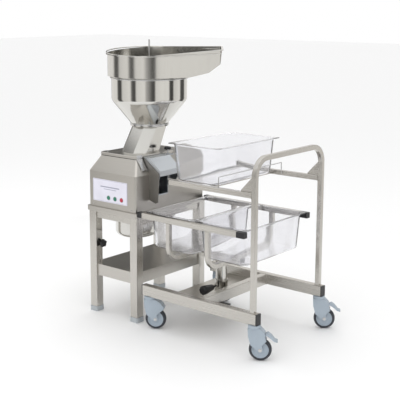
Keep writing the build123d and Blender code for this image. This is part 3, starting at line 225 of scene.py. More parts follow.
@dataclass
class Piece:
    """A finished mesh piece in the making: several skins that become one object."""

    name: str
    body: str
    slot: str
    verts: list = field(default_factory=list)
    faces: list = field(default_factory=list)
    marks: list = field(default_factory=list)

    def add(self, grid: np.ndarray, capped: bool = True, looped: bool = False, mark: int = 0) -> "Piece":
        """Adds a skin given as rows x columns x 3.

        Args:
            grid: the skin's points.
            capped: whether the end loops are filled in.
            looped: whether the last row joins the first.
            mark: number of the material that the skin takes.

        Returns:
            The piece itself.
        """
        base = sum(len(v) for v in self.verts)
        rows, cols = grid.shape[:2]
        new = skin_faces(rows, cols, capped, looped)
        self.verts.append(grid.reshape(-1, 3))
        self.faces += [tuple(base + n for n in f) for f in new]
        self.marks += [mark] * len(new)
        return self

    def build(
        self, *materials: bpy.types.Material, replaces: tuple = (), sharp: float = 38.0
    ) -> bpy.types.Object:
        """Makes the object, turns its faces outwards, dresses it and puts it on its body.

        Args:
            materials: the materials, in the order of the marks.
            replaces: CAD nodes that the piece stands for.
            sharp: angle in degrees above which an edge stays crisp.

        Returns:
            The object.
        """
        mesh = bpy.data.meshes.new(self.name)
        mesh.from_pydata(np.vstack(self.verts).tolist(), [], self.faces)
        mesh.update()
        for material in materials:
            mesh.materials.append(material)
        mesh.polygons.foreach_set("material_index", np.asarray(self.marks, np.int32))
        outward(mesh)
        mesh.polygons.foreach_set("use_smooth", np.ones(len(mesh.polygons), bool))
        mesh.set_sharp_from_angle(angle=math.radians(sharp))
        obj = bpy.data.objects.new(self.name, mesh)
        bpy.context.scene.collection.objects.link(obj)
        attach(obj, self.body)
        if replaces:
            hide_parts(*replaces)
        log.info("%s: %d faces on %s", self.name, len(mesh.polygons), self.body)
        return obj


def outward(mesh: bpy.types.Mesh) -> None:
    """Turns every closed shell of a mesh so that its faces point outwards."""
    bm = bmesh.new()
    bm.from_mesh(mesh)
    bmesh.ops.recalc_face_normals(bm, faces=bm.faces)
    bm.to_mesh(mesh)
    bm.free()
    mesh.update()


# ================================ finishes ========================================================


class Grain(Enum):
    """The way that a brushed surface's fine lines run."""

    ALONG_X = (2.0, 160.0, 160.0)
    ALONG_Y = (160.0, 2.0, 160.0)
    ALONG_Z = (160.0, 160.0, 2.0)
    TURNED = (60.0, 60.0, 420.0)


def new_group(name: str, inputs: dict, outputs: dict) -> tuple:
    """Starts a shader group with named inputs and outputs.

    Args:
        name: the group's name.
        inputs: input name to (socket type, default).
        outputs: output name to socket type.

    Returns:
        The group, its input node and its output node.
    """
    group = bpy.data.node_groups.new(name, "ShaderNodeTree")
    for key, (kind, default) in inputs.items():
        socket = group.interface.new_socket(name=key, in_out="INPUT", socket_type=kind)
        socket.default_value = default
    for key, kind in outputs.items():
        group.interface.new_socket(name=key, in_out="OUTPUT", socket_type=kind)
    return group, group.nodes.new("NodeGroupInput"), group.nodes.new("NodeGroupOutput")


def brushed_group() -> bpy.types.NodeTree:
    """Fine lines stretched one way: a roughness, a colour and a height that follow stretched noise."""
    group, source, sink = new_group(
        "brushed_lines",
        {
            "Coords": ("NodeSocketVector", (0.0, 0.0, 0.0)),
            "Stretch": ("NodeSocketVector", Grain.ALONG_X.value),
            "Colour": ("NodeSocketColor", (0.6, 0.6, 0.6, 1.0)),
            "Roughness": ("NodeSocketFloat", 0.3),
            "Depth": ("NodeSocketFloat", 0.1),
        },
        {"Colour": "NodeSocketColor", "Roughness": "NodeSocketFloat", "Height": "NodeSocketFloat"},
    )
    nodes, links = group.nodes, group.links
    scaled = nodes.new("ShaderNodeVectorMath")
    scaled.operation = "MULTIPLY"
    links.new(source.outputs["Coords"], scaled.inputs[0])
    links.new(source.outputs["Stretch"], scaled.inputs[1])
    lines = nodes.new("ShaderNodeTexNoise")
    lines.inputs["Scale"].default_value = 3.0
    lines.inputs["Detail"].default_value = 4.0
    links.new(scaled.outputs["Vector"], lines.inputs["Vector"])
    patches = nodes.new("ShaderNodeTexNoise")
    patches.inputs["Scale"].default_value = 6.0
    patches.inputs["Detail"].default_value = 2.0
    links.new(source.outputs["Coords"], patches.inputs["Vector"])
    spread = nodes.new("ShaderNodeMath")
    spread.operation = "MULTIPLY_ADD"
    links.new(lines.outputs["Fac"], spread.inputs[0])
    links.new(source.outputs["Depth"], spread.inputs[1])
    links.new(source.outputs["Roughness"], spread.inputs[2])
    cloudy = nodes.new("ShaderNodeMath")
    cloudy.operation = "MULTIPLY_ADD"
    cloudy.inputs[1].default_value = 0.05
    links.new(patches.outputs["Fac"], cloudy.inputs[0])
    links.new(spread.outputs[0], cloudy.inputs[2])
    tone = nodes.new("ShaderNodeMapRange")
    tone.inputs["To Min"].default_value = 0.9
    tone.inputs["To Max"].default_value = 1.08
    links.new(lines.outputs["Fac"], tone.inputs["Value"])
    shade = nodes.new("ShaderNodeVectorMath")
    shade.operation = "SCALE"
    links.new(source.outputs["Colour"], shade.inputs[0])
    links.new(tone.outputs["Result"], shade.inputs["Scale"])
    links.new(shade.outputs["Vector"], sink.inputs["Colour"])
    links.new(cloudy.outputs[0], sink.inputs["Roughness"])
    links.new(lines.outputs["Fac"], sink.inputs["Height"])
    return group


def moulded_group() -> bpy.types.NodeTree:
    """Fine even grain of moulded plastic or rubber: colour, roughness and height from noise."""
    group, source, sink = new_group(
        "moulded_grain",
        {
            "Coords": ("NodeSocketVector", (0.0, 0.0, 0.0)),
            "Scale": ("NodeSocketFloat", 900.0),
            "Colour": ("NodeSocketColor", (0.5, 0.5, 0.5, 1.0)),
            "Roughness": ("NodeSocketFloat", 0.4),
        },
        {"Colour": "NodeSocketColor", "Roughness": "NodeSocketFloat", "Height": "NodeSocketFloat"},
    )
    nodes, links = group.nodes, group.links
    grain = nodes.new("ShaderNodeTexNoise")
    grain.inputs["Detail"].default_value = 2.0
    links.new(source.outputs["Coords"], grain.inputs["Vector"])
    links.new(source.outputs["Scale"], grain.inputs["Scale"])
    wear = nodes.new("ShaderNodeTexNoise")
    wear.inputs["Scale"].default_value = 14.0
    wear.inputs["Detail"].default_value = 3.0
    links.new(source.outputs["Coords"], wear.inputs["Vector"])
    tone = nodes.new("ShaderNodeMapRange")
    tone.inputs["To Min"].default_value = 0.88
    tone.inputs["To Max"].default_value = 1.12
    links.new(wear.outputs["Fac"], tone.inputs["Value"])
    shade = nodes.new("ShaderNodeVectorMath")
    shade.operation = "SCALE"
    links.new(source.outputs["Colour"], shade.inputs[0])
    links.new(tone.outputs["Result"], shade.inputs["Scale"])
    rough = nodes.new("ShaderNodeMath")
    rough.operation = "MULTIPLY_ADD"
    rough.inputs[1].default_value = 0.12
    links.new(wear.outputs["Fac"], rough.inputs[0])
    links.new(source.outputs["Roughness"], rough.inputs[2])
    links.new(shade.outputs["Vector"], sink.inputs["Colour"])
    links.new(rough.outputs[0], sink.inputs["Roughness"])
    links.new(grain.outputs["Fac"], sink.inputs["Height"])
    return group


@dataclass(frozen=True)
class Surface:
    """What every finish shares: a name, a colour and the softness of its edges."""

    name: str
    colour: tuple
    roughness: float
    edge: float = 0.0008

    def start(self) -> tuple:
        """Makes the material with its shader and coordinates.

        Returns:
            The material, its shader node and its coordinate node.
        """
        material = bpy.data.materials.new(self.name)
        material.use_nodes = True
        material.diffuse_color = (*self.colour, 1.0)
        shader = material.node_tree.nodes["Principled BSDF"]
        shader.inputs["Base Color"].default_value = (*self.colour, 1.0)
        shader.inputs["Roughness"].default_value = self.roughness
        return material, shader, material.node_tree.nodes.new("ShaderNodeTexCoord")

    def relief(self, material: bpy.types.Material, shader: bpy.types.Node, height: bpy.types.NodeSocket,
               strength: float, distance: float) -> None:
        """Feeds a height to the normal, over edges that look softly rounded."""
        nodes, links = material.node_tree.nodes, material.node_tree.links
        bump = nodes.new("ShaderNodeBump")
        bump.inputs["Strength"].default_value = strength
        bump.inputs["Distance"].default_value = distance
        links.new(height, bump.inputs["Height"])
        if self.edge > 0:
            bevel = nodes.new("ShaderNodeBevel")
            bevel.samples = 4
            bevel.inputs["Radius"].default_value = self.edge
            links.new(bevel.outputs["Normal"], bump.inputs["Normal"])
        links.new(bump.outputs["Normal"], shader.inputs["Normal"])


@dataclass(frozen=True)
class Steel(Surface):
    """Stainless steel with fine brushed or turned lines."""

    grain: Grain = Grain.ALONG_Z
    depth: float = 0.12
    relief_strength: float = 0.06

    def make(self, lines: bpy.types.NodeTree) -> bpy.types.Material:
        """Makes the material round the shared group of brushed lines."""
        material, shader, coords = self.start()
        nodes, links = material.node_tree.nodes, material.node_tree.links
        shader.inputs["Metallic"].default_value = 1.0
        group = nodes.new("ShaderNodeGroup")
        group.node_tree = lines
        group.inputs["Stretch"].default_value = self.grain.value
        group.inputs["Colour"].default_value = (*self.colour, 1.0)
        group.inputs["Roughness"].default_value = self.roughness
        group.inputs["Depth"].default_value = self.depth
        links.new(coords.outputs["Object"], group.inputs["Coords"])
        links.new(group.outputs["Colour"], shader.inputs["Base Color"])
        links.new(group.outputs["Roughness"], shader.inputs["Roughness"])
        self.relief(material, shader, group.outputs["Height"], self.relief_strength, 0.0003)
        return material


@dataclass(frozen=True)
class Moulding(Surface):
    """Moulded plastic or rubber with a fine grain."""

    grain_scale: float = 900.0
    relief_strength: float = 0.12
    coat: float = 0.0

    def make(self, grain: bpy.types.NodeTree) -> bpy.types.Material:
        """Makes the material round the shared group of moulded grain."""
        material, shader, coords = self.start()
        nodes, links = material.node_tree.nodes, material.node_tree.links
        shader.inputs["Coat Weight"].default_value = self.coat
        group = nodes.new("ShaderNodeGroup")
        group.node_tree = grain
        group.inputs["Scale"].default_value = self.grain_scale
        group.inputs["Colour"].default_value = (*self.colour, 1.0)
        group.inputs["Roughness"].default_value = self.roughness
        links.new(coords.outputs["Object"], group.inputs["Coords"])
        links.new(group.outputs["Colour"], shader.inputs["Base Color"])
        links.new(group.outputs["Roughness"], shader.inputs["Roughness"])
        self.relief(material, shader, group.outputs["Height"], self.relief_strength, 0.0002)
        return material


@dataclass(frozen=True)
class ClearPlastic(Surface):
    """Clear polycarbonate with a faint waviness."""

    ior: float = 1.38
    clarity: float = 0.94

    def make(self, grain: bpy.types.NodeTree) -> bpy.types.Material:
        """Makes the material round the shared group of moulded grain."""
        material, shader, coords = self.start()
        nodes, links = material.node_tree.nodes, material.node_tree.links
        shader.inputs["Transmission Weight"].default_value = self.clarity
        shader.inputs["IOR"].default_value = self.ior
        group = nodes.new("ShaderNodeGroup")
        group.node_tree = grain
        group.inputs["Scale"].default_value = 40.0
        group.inputs["Colour"].default_value = (*self.colour, 1.0)
        group.inputs["Roughness"].default_value = self.roughness
        links.new(coords.outputs["Object"], group.inputs["Coords"])
        self.relief(material, shader, group.outputs["Height"], 0.08, 0.002)
        return material


class Wardrobe:
    """All the finishes, made once and handed out by name."""

    def __init__(self) -> None:
        """Makes the two shared groups and every finish."""
        lines, grain = brushed_group(), moulded_group()
        tube = (0.56, 0.54, 0.505)
        sheet = (0.55, 0.53, 0.495)
        steels = (
            Steel("tube_upright", tube, 0.17, grain=Grain.ALONG_Z),
            Steel("tube_along_x", tube, 0.18, grain=Grain.ALONG_X),
            Steel("tube_along_y", tube, 0.18, grain=Grain.ALONG_Y),
            Steel("sheet_along_x", sheet, 0.24, grain=Grain.ALONG_X),
            Steel("sheet_along_y", sheet, 0.22, grain=Grain.ALONG_Y),
            Steel("housing_sheet", (0.52, 0.50, 0.465), 0.24, grain=Grain.ALONG_X, depth=0.16),
            Steel("spun_steel", (0.64, 0.63, 0.60), 0.05, grain=Grain.TURNED, depth=0.05),
            Steel("polished_sheet", (0.62, 0.61, 0.58), 0.11, grain=Grain.ALONG_Z, depth=0.08),
            Steel("machined_part", (0.62, 0.62, 0.62), 0.20, grain=Grain.TURNED, edge=0.0005),
            Steel(
                "cast_alloy", (0.60, 0.63, 0.66), 0.31, grain=Grain.ALONG_X, depth=0.10, relief_strength=0.15
            ),
            # Stainless guard plate given a far darker steel colour than the rest: painted shade on the plate
            Steel("dark_plate", (0.30, 0.29, 0.275), 0.33, grain=Grain.ALONG_Z),
            Steel("weld_bead", (0.50, 0.48, 0.44), 0.32, grain=Grain.TURNED, edge=0.0),
        )
        mouldings = (
            Moulding("black_moulding", (0.012, 0.012, 0.014), 0.34, edge=0.0012),
            Moulding("black_rubber", (0.015, 0.015, 0.016), 0.55),
            Moulding("blue_grey_moulding", (0.36, 0.42, 0.48), 0.34, edge=0.0015),
            Moulding("pale_foot", (0.40, 0.43, 0.45), 0.42, edge=0.0020),
            Moulding("wheel_rubber", (0.028, 0.032, 0.042), 0.46, grain_scale=1400.0),
            Moulding("panel_film", (0.72, 0.71, 0.80), 0.30, edge=0.0003, relief_strength=0.03),
            Moulding("panel_border", (0.33, 0.34, 0.42), 0.34, edge=0.0002),
            Moulding("green_button", (0.010, 0.17, 0.10), 0.22, edge=0.0005, coat=0.5),
            Moulding("red_button", (0.46, 0.012, 0.045), 0.22, edge=0.0005, coat=0.5),
            Moulding("button_ring", (0.55, 0.56, 0.60), 0.25, edge=0.0003),
        )
        self.by_name = {s.name: s.make(lines) for s in steels}
        self.by_name.update({m.name: m.make(grain) for m in mouldings})
        self.by_name["clear_pan"] = ClearPlastic("clear_pan", (0.97, 0.97, 0.988), 0.06, edge=0.0).make(grain)

    def __getitem__(self, name: str) -> bpy.types.Material:
        """Gives a finish by its name."""
        return self.by_name[name]


CAD_FINISH = {
    "tube_upright": ("stand_legs", "push_handle", "left_hoop", "right_hoop"),
    "tube_along_x": ("trolley_base", "upper_frame", "tier_rails", "spreader"),
    "tube_along_y": ("top_frame",),
    "sheet_along_x": ("lower_shelf", "column_deck"),
    "sheet_along_y": ("table_top", "head_plate"),
    "housing_sheet": ("housing_shell",),
    "polished_sheet": ("feed_chute", "lift_column", "column_sleeve", "feed_tray"),
    "spun_steel": ("motor_can", "hopper_bowl"),
    "machined_part": ("drive_shaft", "cutting_disc", "ejector", "hopper_spider", "agitator",
                      "housing_brackets", "latch", "pan_bail"),
    "cast_alloy": ("cutting_chamber", "discharge_hood", "motor"),
    # the guard plate's stainless steel gets the darker colour of its painted shade
    "dark_plate": ("guard_plate",),
    "black_moulding": ("hood_knob", "leg_knob", "column_knob", "trolley_plugs", "tier_plugs", "cable_gland",
                       "lift_pedal"),
    "black_rubber": ("isolation_pad", "head_seal"),
    "pale_foot": ("stand_feet",),
    "blue_grey_moulding": ("caster_cups", "caster_fork_front_left", "caster_fork_back_left",
                           "caster_fork_front_right", "caster_fork_back_right", "brake_pedal_front_right",
                           "brake_pedal_back_right"),
    "wheel_rubber": ("caster_wheel_front_left", "caster_wheel_back_left", "caster_wheel_front_right",
                     "caster_wheel_back_right"),
    "clear_pan": ("upper_pan", "lower_left_pan", "lower_right_pan"),
    "panel_film": ("control_panel",),
    "green_button": ("start_button", "pulse_button"),
    "red_button": ("stop_button",),
}


def dress_frame(wardrobe: Wardrobe) -> None:
    """Gives every CAD node its finish."""
    for finish, nodes in CAD_FINISH.items():
        for node in nodes:
            slots = frame["nodes"][node].data.materials
            slots.clear()
            slots.append(wardrobe[finish])


# ================================ pieces ==========================================================


@dataclass
class Pans:
    """The three clear gastronorm pans, each one smooth moulded shell."""

    wall: float = 3.5 * MM
    rim: float = 3.0 * MM
    ledge: float = 13.0 * MM
    taper: float = 13.0 * MM
    rim_corner: float = 15.0 * MM
    body_corner: float = 42.0 * MM
    floor_curve: float = 18.0 * MM

    def shell(self, low: np.ndarray, high: np.ndarray) -> np.ndarray:
        """Rows of rounded rectangles: out from the floor, up the wall, round the rim, down inside.

        Args:
            low: lowest corner of the pan.
            high: highest corner of the pan.

        Returns:
            Points as rows x columns x 3.
        """
        half = (high - low)[:2] / 2
        top, bottom = high[2], low[2]
        t = np.linspace(0.0, np.pi / 2, 7)
        inset_out = np.concatenate([
            [half.min() * 0.8],
            self.ledge + self.taper + self.floor_curve * (1 - np.sin(t)),
            [self.ledge + 1.5 * MM, self.ledge, self.ledge - 2.5 * MM, 0.8 * MM, 0.0],
            [0.0, 0.8 * MM, self.ledge, self.ledge + 2.0 * MM, self.ledge + self.wall],
            self.ledge + self.taper + self.wall + (self.floor_curve - self.wall) * (1 - np.sin(t[::-1])),
            [half.min() * 0.8],
        ])
        rise = np.concatenate([
            [bottom],
            bottom + self.floor_curve * (1 - np.cos(t)),
            [top - 14.0 * MM, top - self.rim - 2.5 * MM, top - self.rim, top - self.rim],
            [top - self.rim + 0.8 * MM],
            [top - 0.8 * MM, top, top, top - 0.6 * MM, top - 4.0 * MM],
            bottom + self.wall + (self.floor_curve - self.wall) * (1 - np.cos(t[::-1])),
            [bottom + self.wall],
        ])
        depth_share = np.clip((rise - bottom) / (top - bottom), 0.0, 1.0)
        corner = np.where(inset_out < self.ledge - 0.1 * MM, self.rim_corner + inset_out, self.body_corner)
        corner = np.minimum(corner, half.min() - inset_out - 1.0 * MM)
        corner = corner * (0.9 + 0.1 * depth_share)
        corner = np.maximum(corner, 1.0 * MM)
        loops = rounded_box_loop(half[0] - inset_out, half[1] - inset_out, corner, steps=12)
        centre = (low + high)[:2] / 2
        z = np.repeat(rise[:, None, None], loops.shape[1], axis=1)
        return np.concatenate([loops + centre, z], -1)

    def make(self, wardrobe: Wardrobe) -> None:
        """Builds the three shells."""
        for node in ("upper_pan", "lower_left_pan", "lower_right_pan"):
            low, high = (np.array(v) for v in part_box(node))
            Piece(f"{node}_shell", node, "clear_pan").add(self.shell(low, high)).build(
                wardrobe["clear_pan"], replaces=(node,), sharp=60.0
            )


@dataclass
class Hopper:
    """The spun bowl, the rolled edge of the feed tray and the rings that join them."""

    axis: tuple = (-0.150, 0.275)
    bowl_radius: float = 206.0 * MM
    neck_radius: float = 100.0 * MM
    neck_z: float = 1.025
    cone_top_z: float = 1.160
    bowl_top_z: float = 1.290
    wall: float = 2.5 * MM
    tray_radius: float = 234.0 * MM
    tray_reach: float = 400.0 * MM
    tray_half_end: float = 103.0 * MM
    tray_angle: float = math.radians(39.0)
    rim_z: float = 1.421
    rim_lean: float = math.radians(4.0)
    end_corner: float = 18.0 * MM

    def bowl(self, wardrobe: Wardrobe) -> None:
        """Spins the bowl: a cone with a rounded shoulder, a cylinder and a rolled bead at its top."""
        outer = rounded_profile(
            np.array([
                [self.neck_radius + 1.0 * MM, self.neck_z + 0.2 * MM],
                [self.neck_radius + 1.0 * MM, self.neck_z + 6.0 * MM],
                [self.bowl_radius, self.cone_top_z],
                [self.bowl_radius, self.bowl_top_z - 9.0 * MM],
                [self.bowl_radius + 4.0 * MM, self.bowl_top_z - 5.0 * MM],
                [self.bowl_radius + 4.0 * MM, self.bowl_top_z - 1.5 * MM],
                [self.bowl_radius, self.bowl_top_z - 0.2 * MM],
            ]),
            14.0 * MM,
            steps=7,
        )
        inner = outer[::-1].copy()
        inner[:, 0] = np.minimum(inner[:, 0], self.bowl_radius) - self.wall
        where = local_frame((*self.axis, 0.0), (0, 0, 1))
        ring = np.vstack([outer, inner])
        Piece("hopper_bowl_skin", "feed_head", "polished_steel").add(
            turned(ring, where, sides=128), looped=True
        ).build(wardrobe["spun_steel"], replaces=("hopper_bowl",))

    def rim_path(self, grow: float, rise: float) -> np.ndarray:
        """The tray's outline on the leaning rim plane.

        For each direction the outermost of three circles is taken: the tray's own and one at each
        corner of the spout.

        Args:
            grow: distance outside the CAD rim's edge.
            rise: height above the rim plane.

        Returns:
            The outline's points.
        """
        a = np.linspace(0.0, 2 * np.pi, 720, endpoint=False)
        n = np.stack([np.cos(a), np.sin(a)], -1)
        far_x, far_y = self.tray_reach - self.end_corner, self.tray_half_end - self.end_corner
        centres = np.array([[0.0, 0.0], [far_x, far_y], [far_x, -far_y]])
        radii = np.array([self.tray_radius, self.end_corner, self.end_corner]) + grow
        best = np.argmax(n @ centres.T + radii, axis=1)
        flat = centres[best] + radii[best][:, None] * n
        keep = np.linalg.norm(flat - np.roll(flat, 1, 0), axis=1) > 0.3 * MM
        flat = flat[keep]
        u = np.array([math.cos(self.tray_angle), math.sin(self.tray_angle), 0.0])
        v = np.array([-math.sin(self.tray_angle), math.cos(self.tray_angle), 0.0])
        z = self.rim_z + flat[:, 1] * math.tan(self.rim_lean) + rise
        points = flat[:, :1] * u + flat[:, 1:] * v
        points[:, 2] = z
        return points + np.array([*self.axis, 0.0])

    def rim(self, wardrobe: Wardrobe) -> None:
        """Rolls a wire edge along the tray's rim."""
        path = self.rim_path(-3.2 * MM, -1.6 * MM)
        bead = tube_grid(path, np.full(len(path), 3.1 * MM), 12, True)
        edge = Piece("tray_rolled_edge", "feed_head", "polished_steel").add(bead, looped=True)
        edge.build(wardrobe["spun_steel"])

    def rings(self, wardrobe: Wardrobe) -> None:
        """Lays a clamping ring under the tray and another round the neck."""
        where = local_frame((*self.axis, 0.0), (0, 0, 1))
        under = rounded_profile(
            np.array([
                [self.bowl_radius + 2.0 * MM, self.bowl_top_z - 14.0 * MM],
                [self.bowl_radius + 7.0 * MM, self.bowl_top_z - 14.0 * MM],
                [self.bowl_radius + 7.0 * MM, self.bowl_top_z - 8.0 * MM],
                [self.bowl_radius + 2.0 * MM, self.bowl_top_z - 8.0 * MM],
            ]),
            1.5 * MM,
            steps=4,
        )
        neck = rounded_profile(
            np.array([
                [self.neck_radius + 1.5 * MM, self.neck_z + 0.2 * MM],
                [self.neck_radius + 6.0 * MM, self.neck_z + 0.2 * MM],
                [self.neck_radius + 6.0 * MM, self.neck_z + 7.0 * MM],
                [self.neck_radius + 1.5 * MM, self.neck_z + 7.0 * MM],
            ]),
            1.5 * MM,
            steps=4,
        )
        rings = Piece("hopper_rings", "feed_head", "polished_steel")
        rings.add(turned(under, where, sides=128), looped=True).add(
            turned(neck, where, sides=96), looped=True
        ).build(wardrobe["machined_part"])

    def make(self, wardrobe: Wardrobe) -> None:
        """Builds the hopper's pieces."""
        self.bowl(wardrobe)
        self.rim(wardrobe)
        self.rings(wardrobe)


@dataclass
class HandKnobs:
    """Moulded hand knobs: a lobed head with a soft crown on a steel stud."""

    lobe_depth: float = 0.11

    def lobed(self, radius: float, height: float, where: np.ndarray, stud: float, lobes: int) -> list:
        """A lobed head from the stud's end, and the stud itself.

        Args:
            radius: the head's outer radius.
            height: the head's height.
            where: frame whose third axis is the knob's, with its origin at the stud's foot.
            stud: the stud's length.
            lobes: number of lobes.

        Returns:
            The grids of the head and of the stud.
        """
        mean = radius / (1 + self.lobe_depth)
        profile = np.array([
            [0.30 * mean, stud, 0.0],
            [0.80 * mean, stud, 1.0],
            [0.97 * mean, stud + 0.12 * height, 1.0],
            [1.00 * mean, stud + 0.45 * height, 1.0],
            [0.97 * mean, stud + 0.74 * height, 1.0],
            [0.80 * mean, stud + 0.90 * height, 0.9],
            [0.50 * mean, stud + 0.93 * height, 0.4],
            [0.42 * mean, stud + 1.00 * height, 0.0],
            [0.05 * mean, stud + 1.00 * height, 0.0],
        ])
        smooth = rounded_profile(profile, 1.6 * MM, steps=4)
        head = turned(smooth, where, sides=96, lobes=lobes, depth=self.lobe_depth)
        shank = turned(np.array([[4.0 * MM, 0.0], [4.0 * MM, stud + 0.5 * MM]]), where, sides=24)
        return [head, shank]

    def make(self, wardrobe: Wardrobe) -> None:
        """Builds the hood's knob, the leg's knob and the column's tapered knob."""
        plans = (
            ("hood_knob", "hood_knob", (-0.009, 0.263), 2, (0, 0, 1), 6),
            ("leg_knob", "leg_knob", (0.012, 0.384), 0, (1, 0, 0), 5),
        )
        for node, body, centre, along, axis, lobes in plans:
            low, high = (np.array(v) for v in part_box(node))
            start, end = low[along], high[along]
            across = 1 if along != 1 else 0
            radius = (high - low)[across] / 2
            origin = (centre[0], centre[1], start) if along == 2 else (start, centre[0], centre[1])
            stud = 22.0 * MM if along == 2 else 0.44 * (end - start)
            grids = self.lobed(radius, end - start - stud, local_frame(origin, axis), stud, lobes)
            piece = Piece(f"{node}_moulding", body, "black_plastic").add(grids[0]).add(grids[1], mark=1)
            piece.build(wardrobe["black_moulding"], wardrobe["machined_part"], replaces=(node,))
        low, high = (np.array(v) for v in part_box("column_knob"))
        length = high[1] - low[1]
        centre_x, centre_z = (low + high)[0] / 2, (low + high)[2] / 2
        wide = (high - low)[0] / 2
        where = local_frame((centre_x, high[1], centre_z), (0, -1, 0))
        profile = np.array([
            [5.0 * MM, 0.0, 0.0], [5.0 * MM, 0.25 * length, 0.0], [0.62 * wide, 0.26 * length, 0.3],
            [0.72 * wide, 0.45 * length, 0.8], [0.95 * wide, 0.80 * length, 1.0],
            [0.93 * wide, 0.93 * length, 0.8],
            [0.60 * wide, 0.99 * length, 0.0], [0.05 * wide, length, 0.0],
        ])
        grip = turned(rounded_profile(profile, 3.0 * MM), where, sides=96, lobes=8, depth=0.045)
        Piece("column_knob_moulding", "column_knob", "black_plastic").add(grip).build(
            wardrobe["black_moulding"], replaces=("column_knob",)
        )


@dataclass
class Casters:
    """Tyre, rim and hub of each wheel, and the caps on its axle."""

    radius: float = 55.0 * MM
    tyre: float = 14.0 * MM
    half_tread: float = 16.0 * MM

    def wheel(self, place: str, centre: np.ndarray, axle: np.ndarray, wardrobe: Wardrobe) -> None:
        """Turns a wheel: a rounded tyre on a dished rim with a hub.

        Args:
            place: which wheel.
            centre: the wheel's centre.
            axle: the axle's direction.
            wardrobe: the finishes.
        """
        where = local_frame(tuple(centre), tuple(axle))
        r, w = self.radius, self.half_tread
        tread = rounded_profile(
            np.array([
                [r - self.tyre, -w + 1.0 * MM], [r - 5.0 * MM, -w], [r - 0.2 * MM, -w * 0.45], [r, 0.0],
                [r - 0.2 * MM, w * 0.45], [r - 5.0 * MM, w], [r - self.tyre, w - 1.0 * MM],
            ]),
            3.5 * MM,
        )
        rim = np.array([
            [r - self.tyre + 0.4 * MM, -w + 1.6 * MM], [r - self.tyre - 3.5 * MM, -w + 1.4 * MM],
            [r - self.tyre - 5.5 * MM, -w + 6.0 * MM], [19.0 * MM, -w + 7.5 * MM], [15.0 * MM, -w + 3.0 * MM],
            [14.0 * MM, -17.2 * MM], [6.0 * MM, -17.4 * MM], [4.3 * MM, -17.0 * MM],
        ])
        back = rim[::-1].copy()
        back[:, 1] *= -1
        dish = rounded_profile(np.vstack([rim, back]), 1.4 * MM, steps=3)
        Piece(f"wheel_{place}_turned", f"wheel_{place}", "wheel_tyre").add(
            turned(tread, where, sides=96), looped=True
        ).add(turned(dish, where, sides=96), looped=True, mark=1).build(
            wardrobe["wheel_rubber"], wardrobe["blue_grey_moulding"], replaces=(f"caster_wheel_{place}",)
        )

    def hardware(self, place: str, centre: np.ndarray, axle: np.ndarray, wardrobe: Wardrobe) -> None:
        """Sets the axle's caps on both sides of the fork."""
        piece = Piece(f"axle_caps_{place}", f"fork_{place}", "machined_steel")
        for side in (-1.0, 1.0):
            where = local_frame(tuple(centre + axle * side * 23.0 * MM), tuple(axle * side))
            cap = rounded_profile(
                np.array([
                    [9.0 * MM, -0.5 * MM], [9.0 * MM, 1.6 * MM], [6.5 * MM, 3.0 * MM], [0.4 * MM, 3.6 * MM],
                ]),
                0.8 * MM,
            )
            piece.add(turned(cap, where, sides=36))
        piece.build(wardrobe["machined_part"])

    def axle(self, place: str) -> np.ndarray:
        """Gives the direction of a wheel's axle, which its rolling joint turns about."""
        joint = next(j for j in frame["joints"] if j["name"] == f"roll_{place}")
        return np.array(joint["axis"], float)

    def make(self, wardrobe: Wardrobe) -> None:
        """Builds every caster's pieces."""
        for place in ("front_left", "back_left", "front_right", "back_right"):
            low, high = (np.array(v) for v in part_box(f"caster_wheel_{place}"))
            centre = (low + high) / 2
            axle = self.axle(place)
            self.wheel(place, centre, axle, wardrobe)
            self.hardware(place, centre, axle, wardrobe)


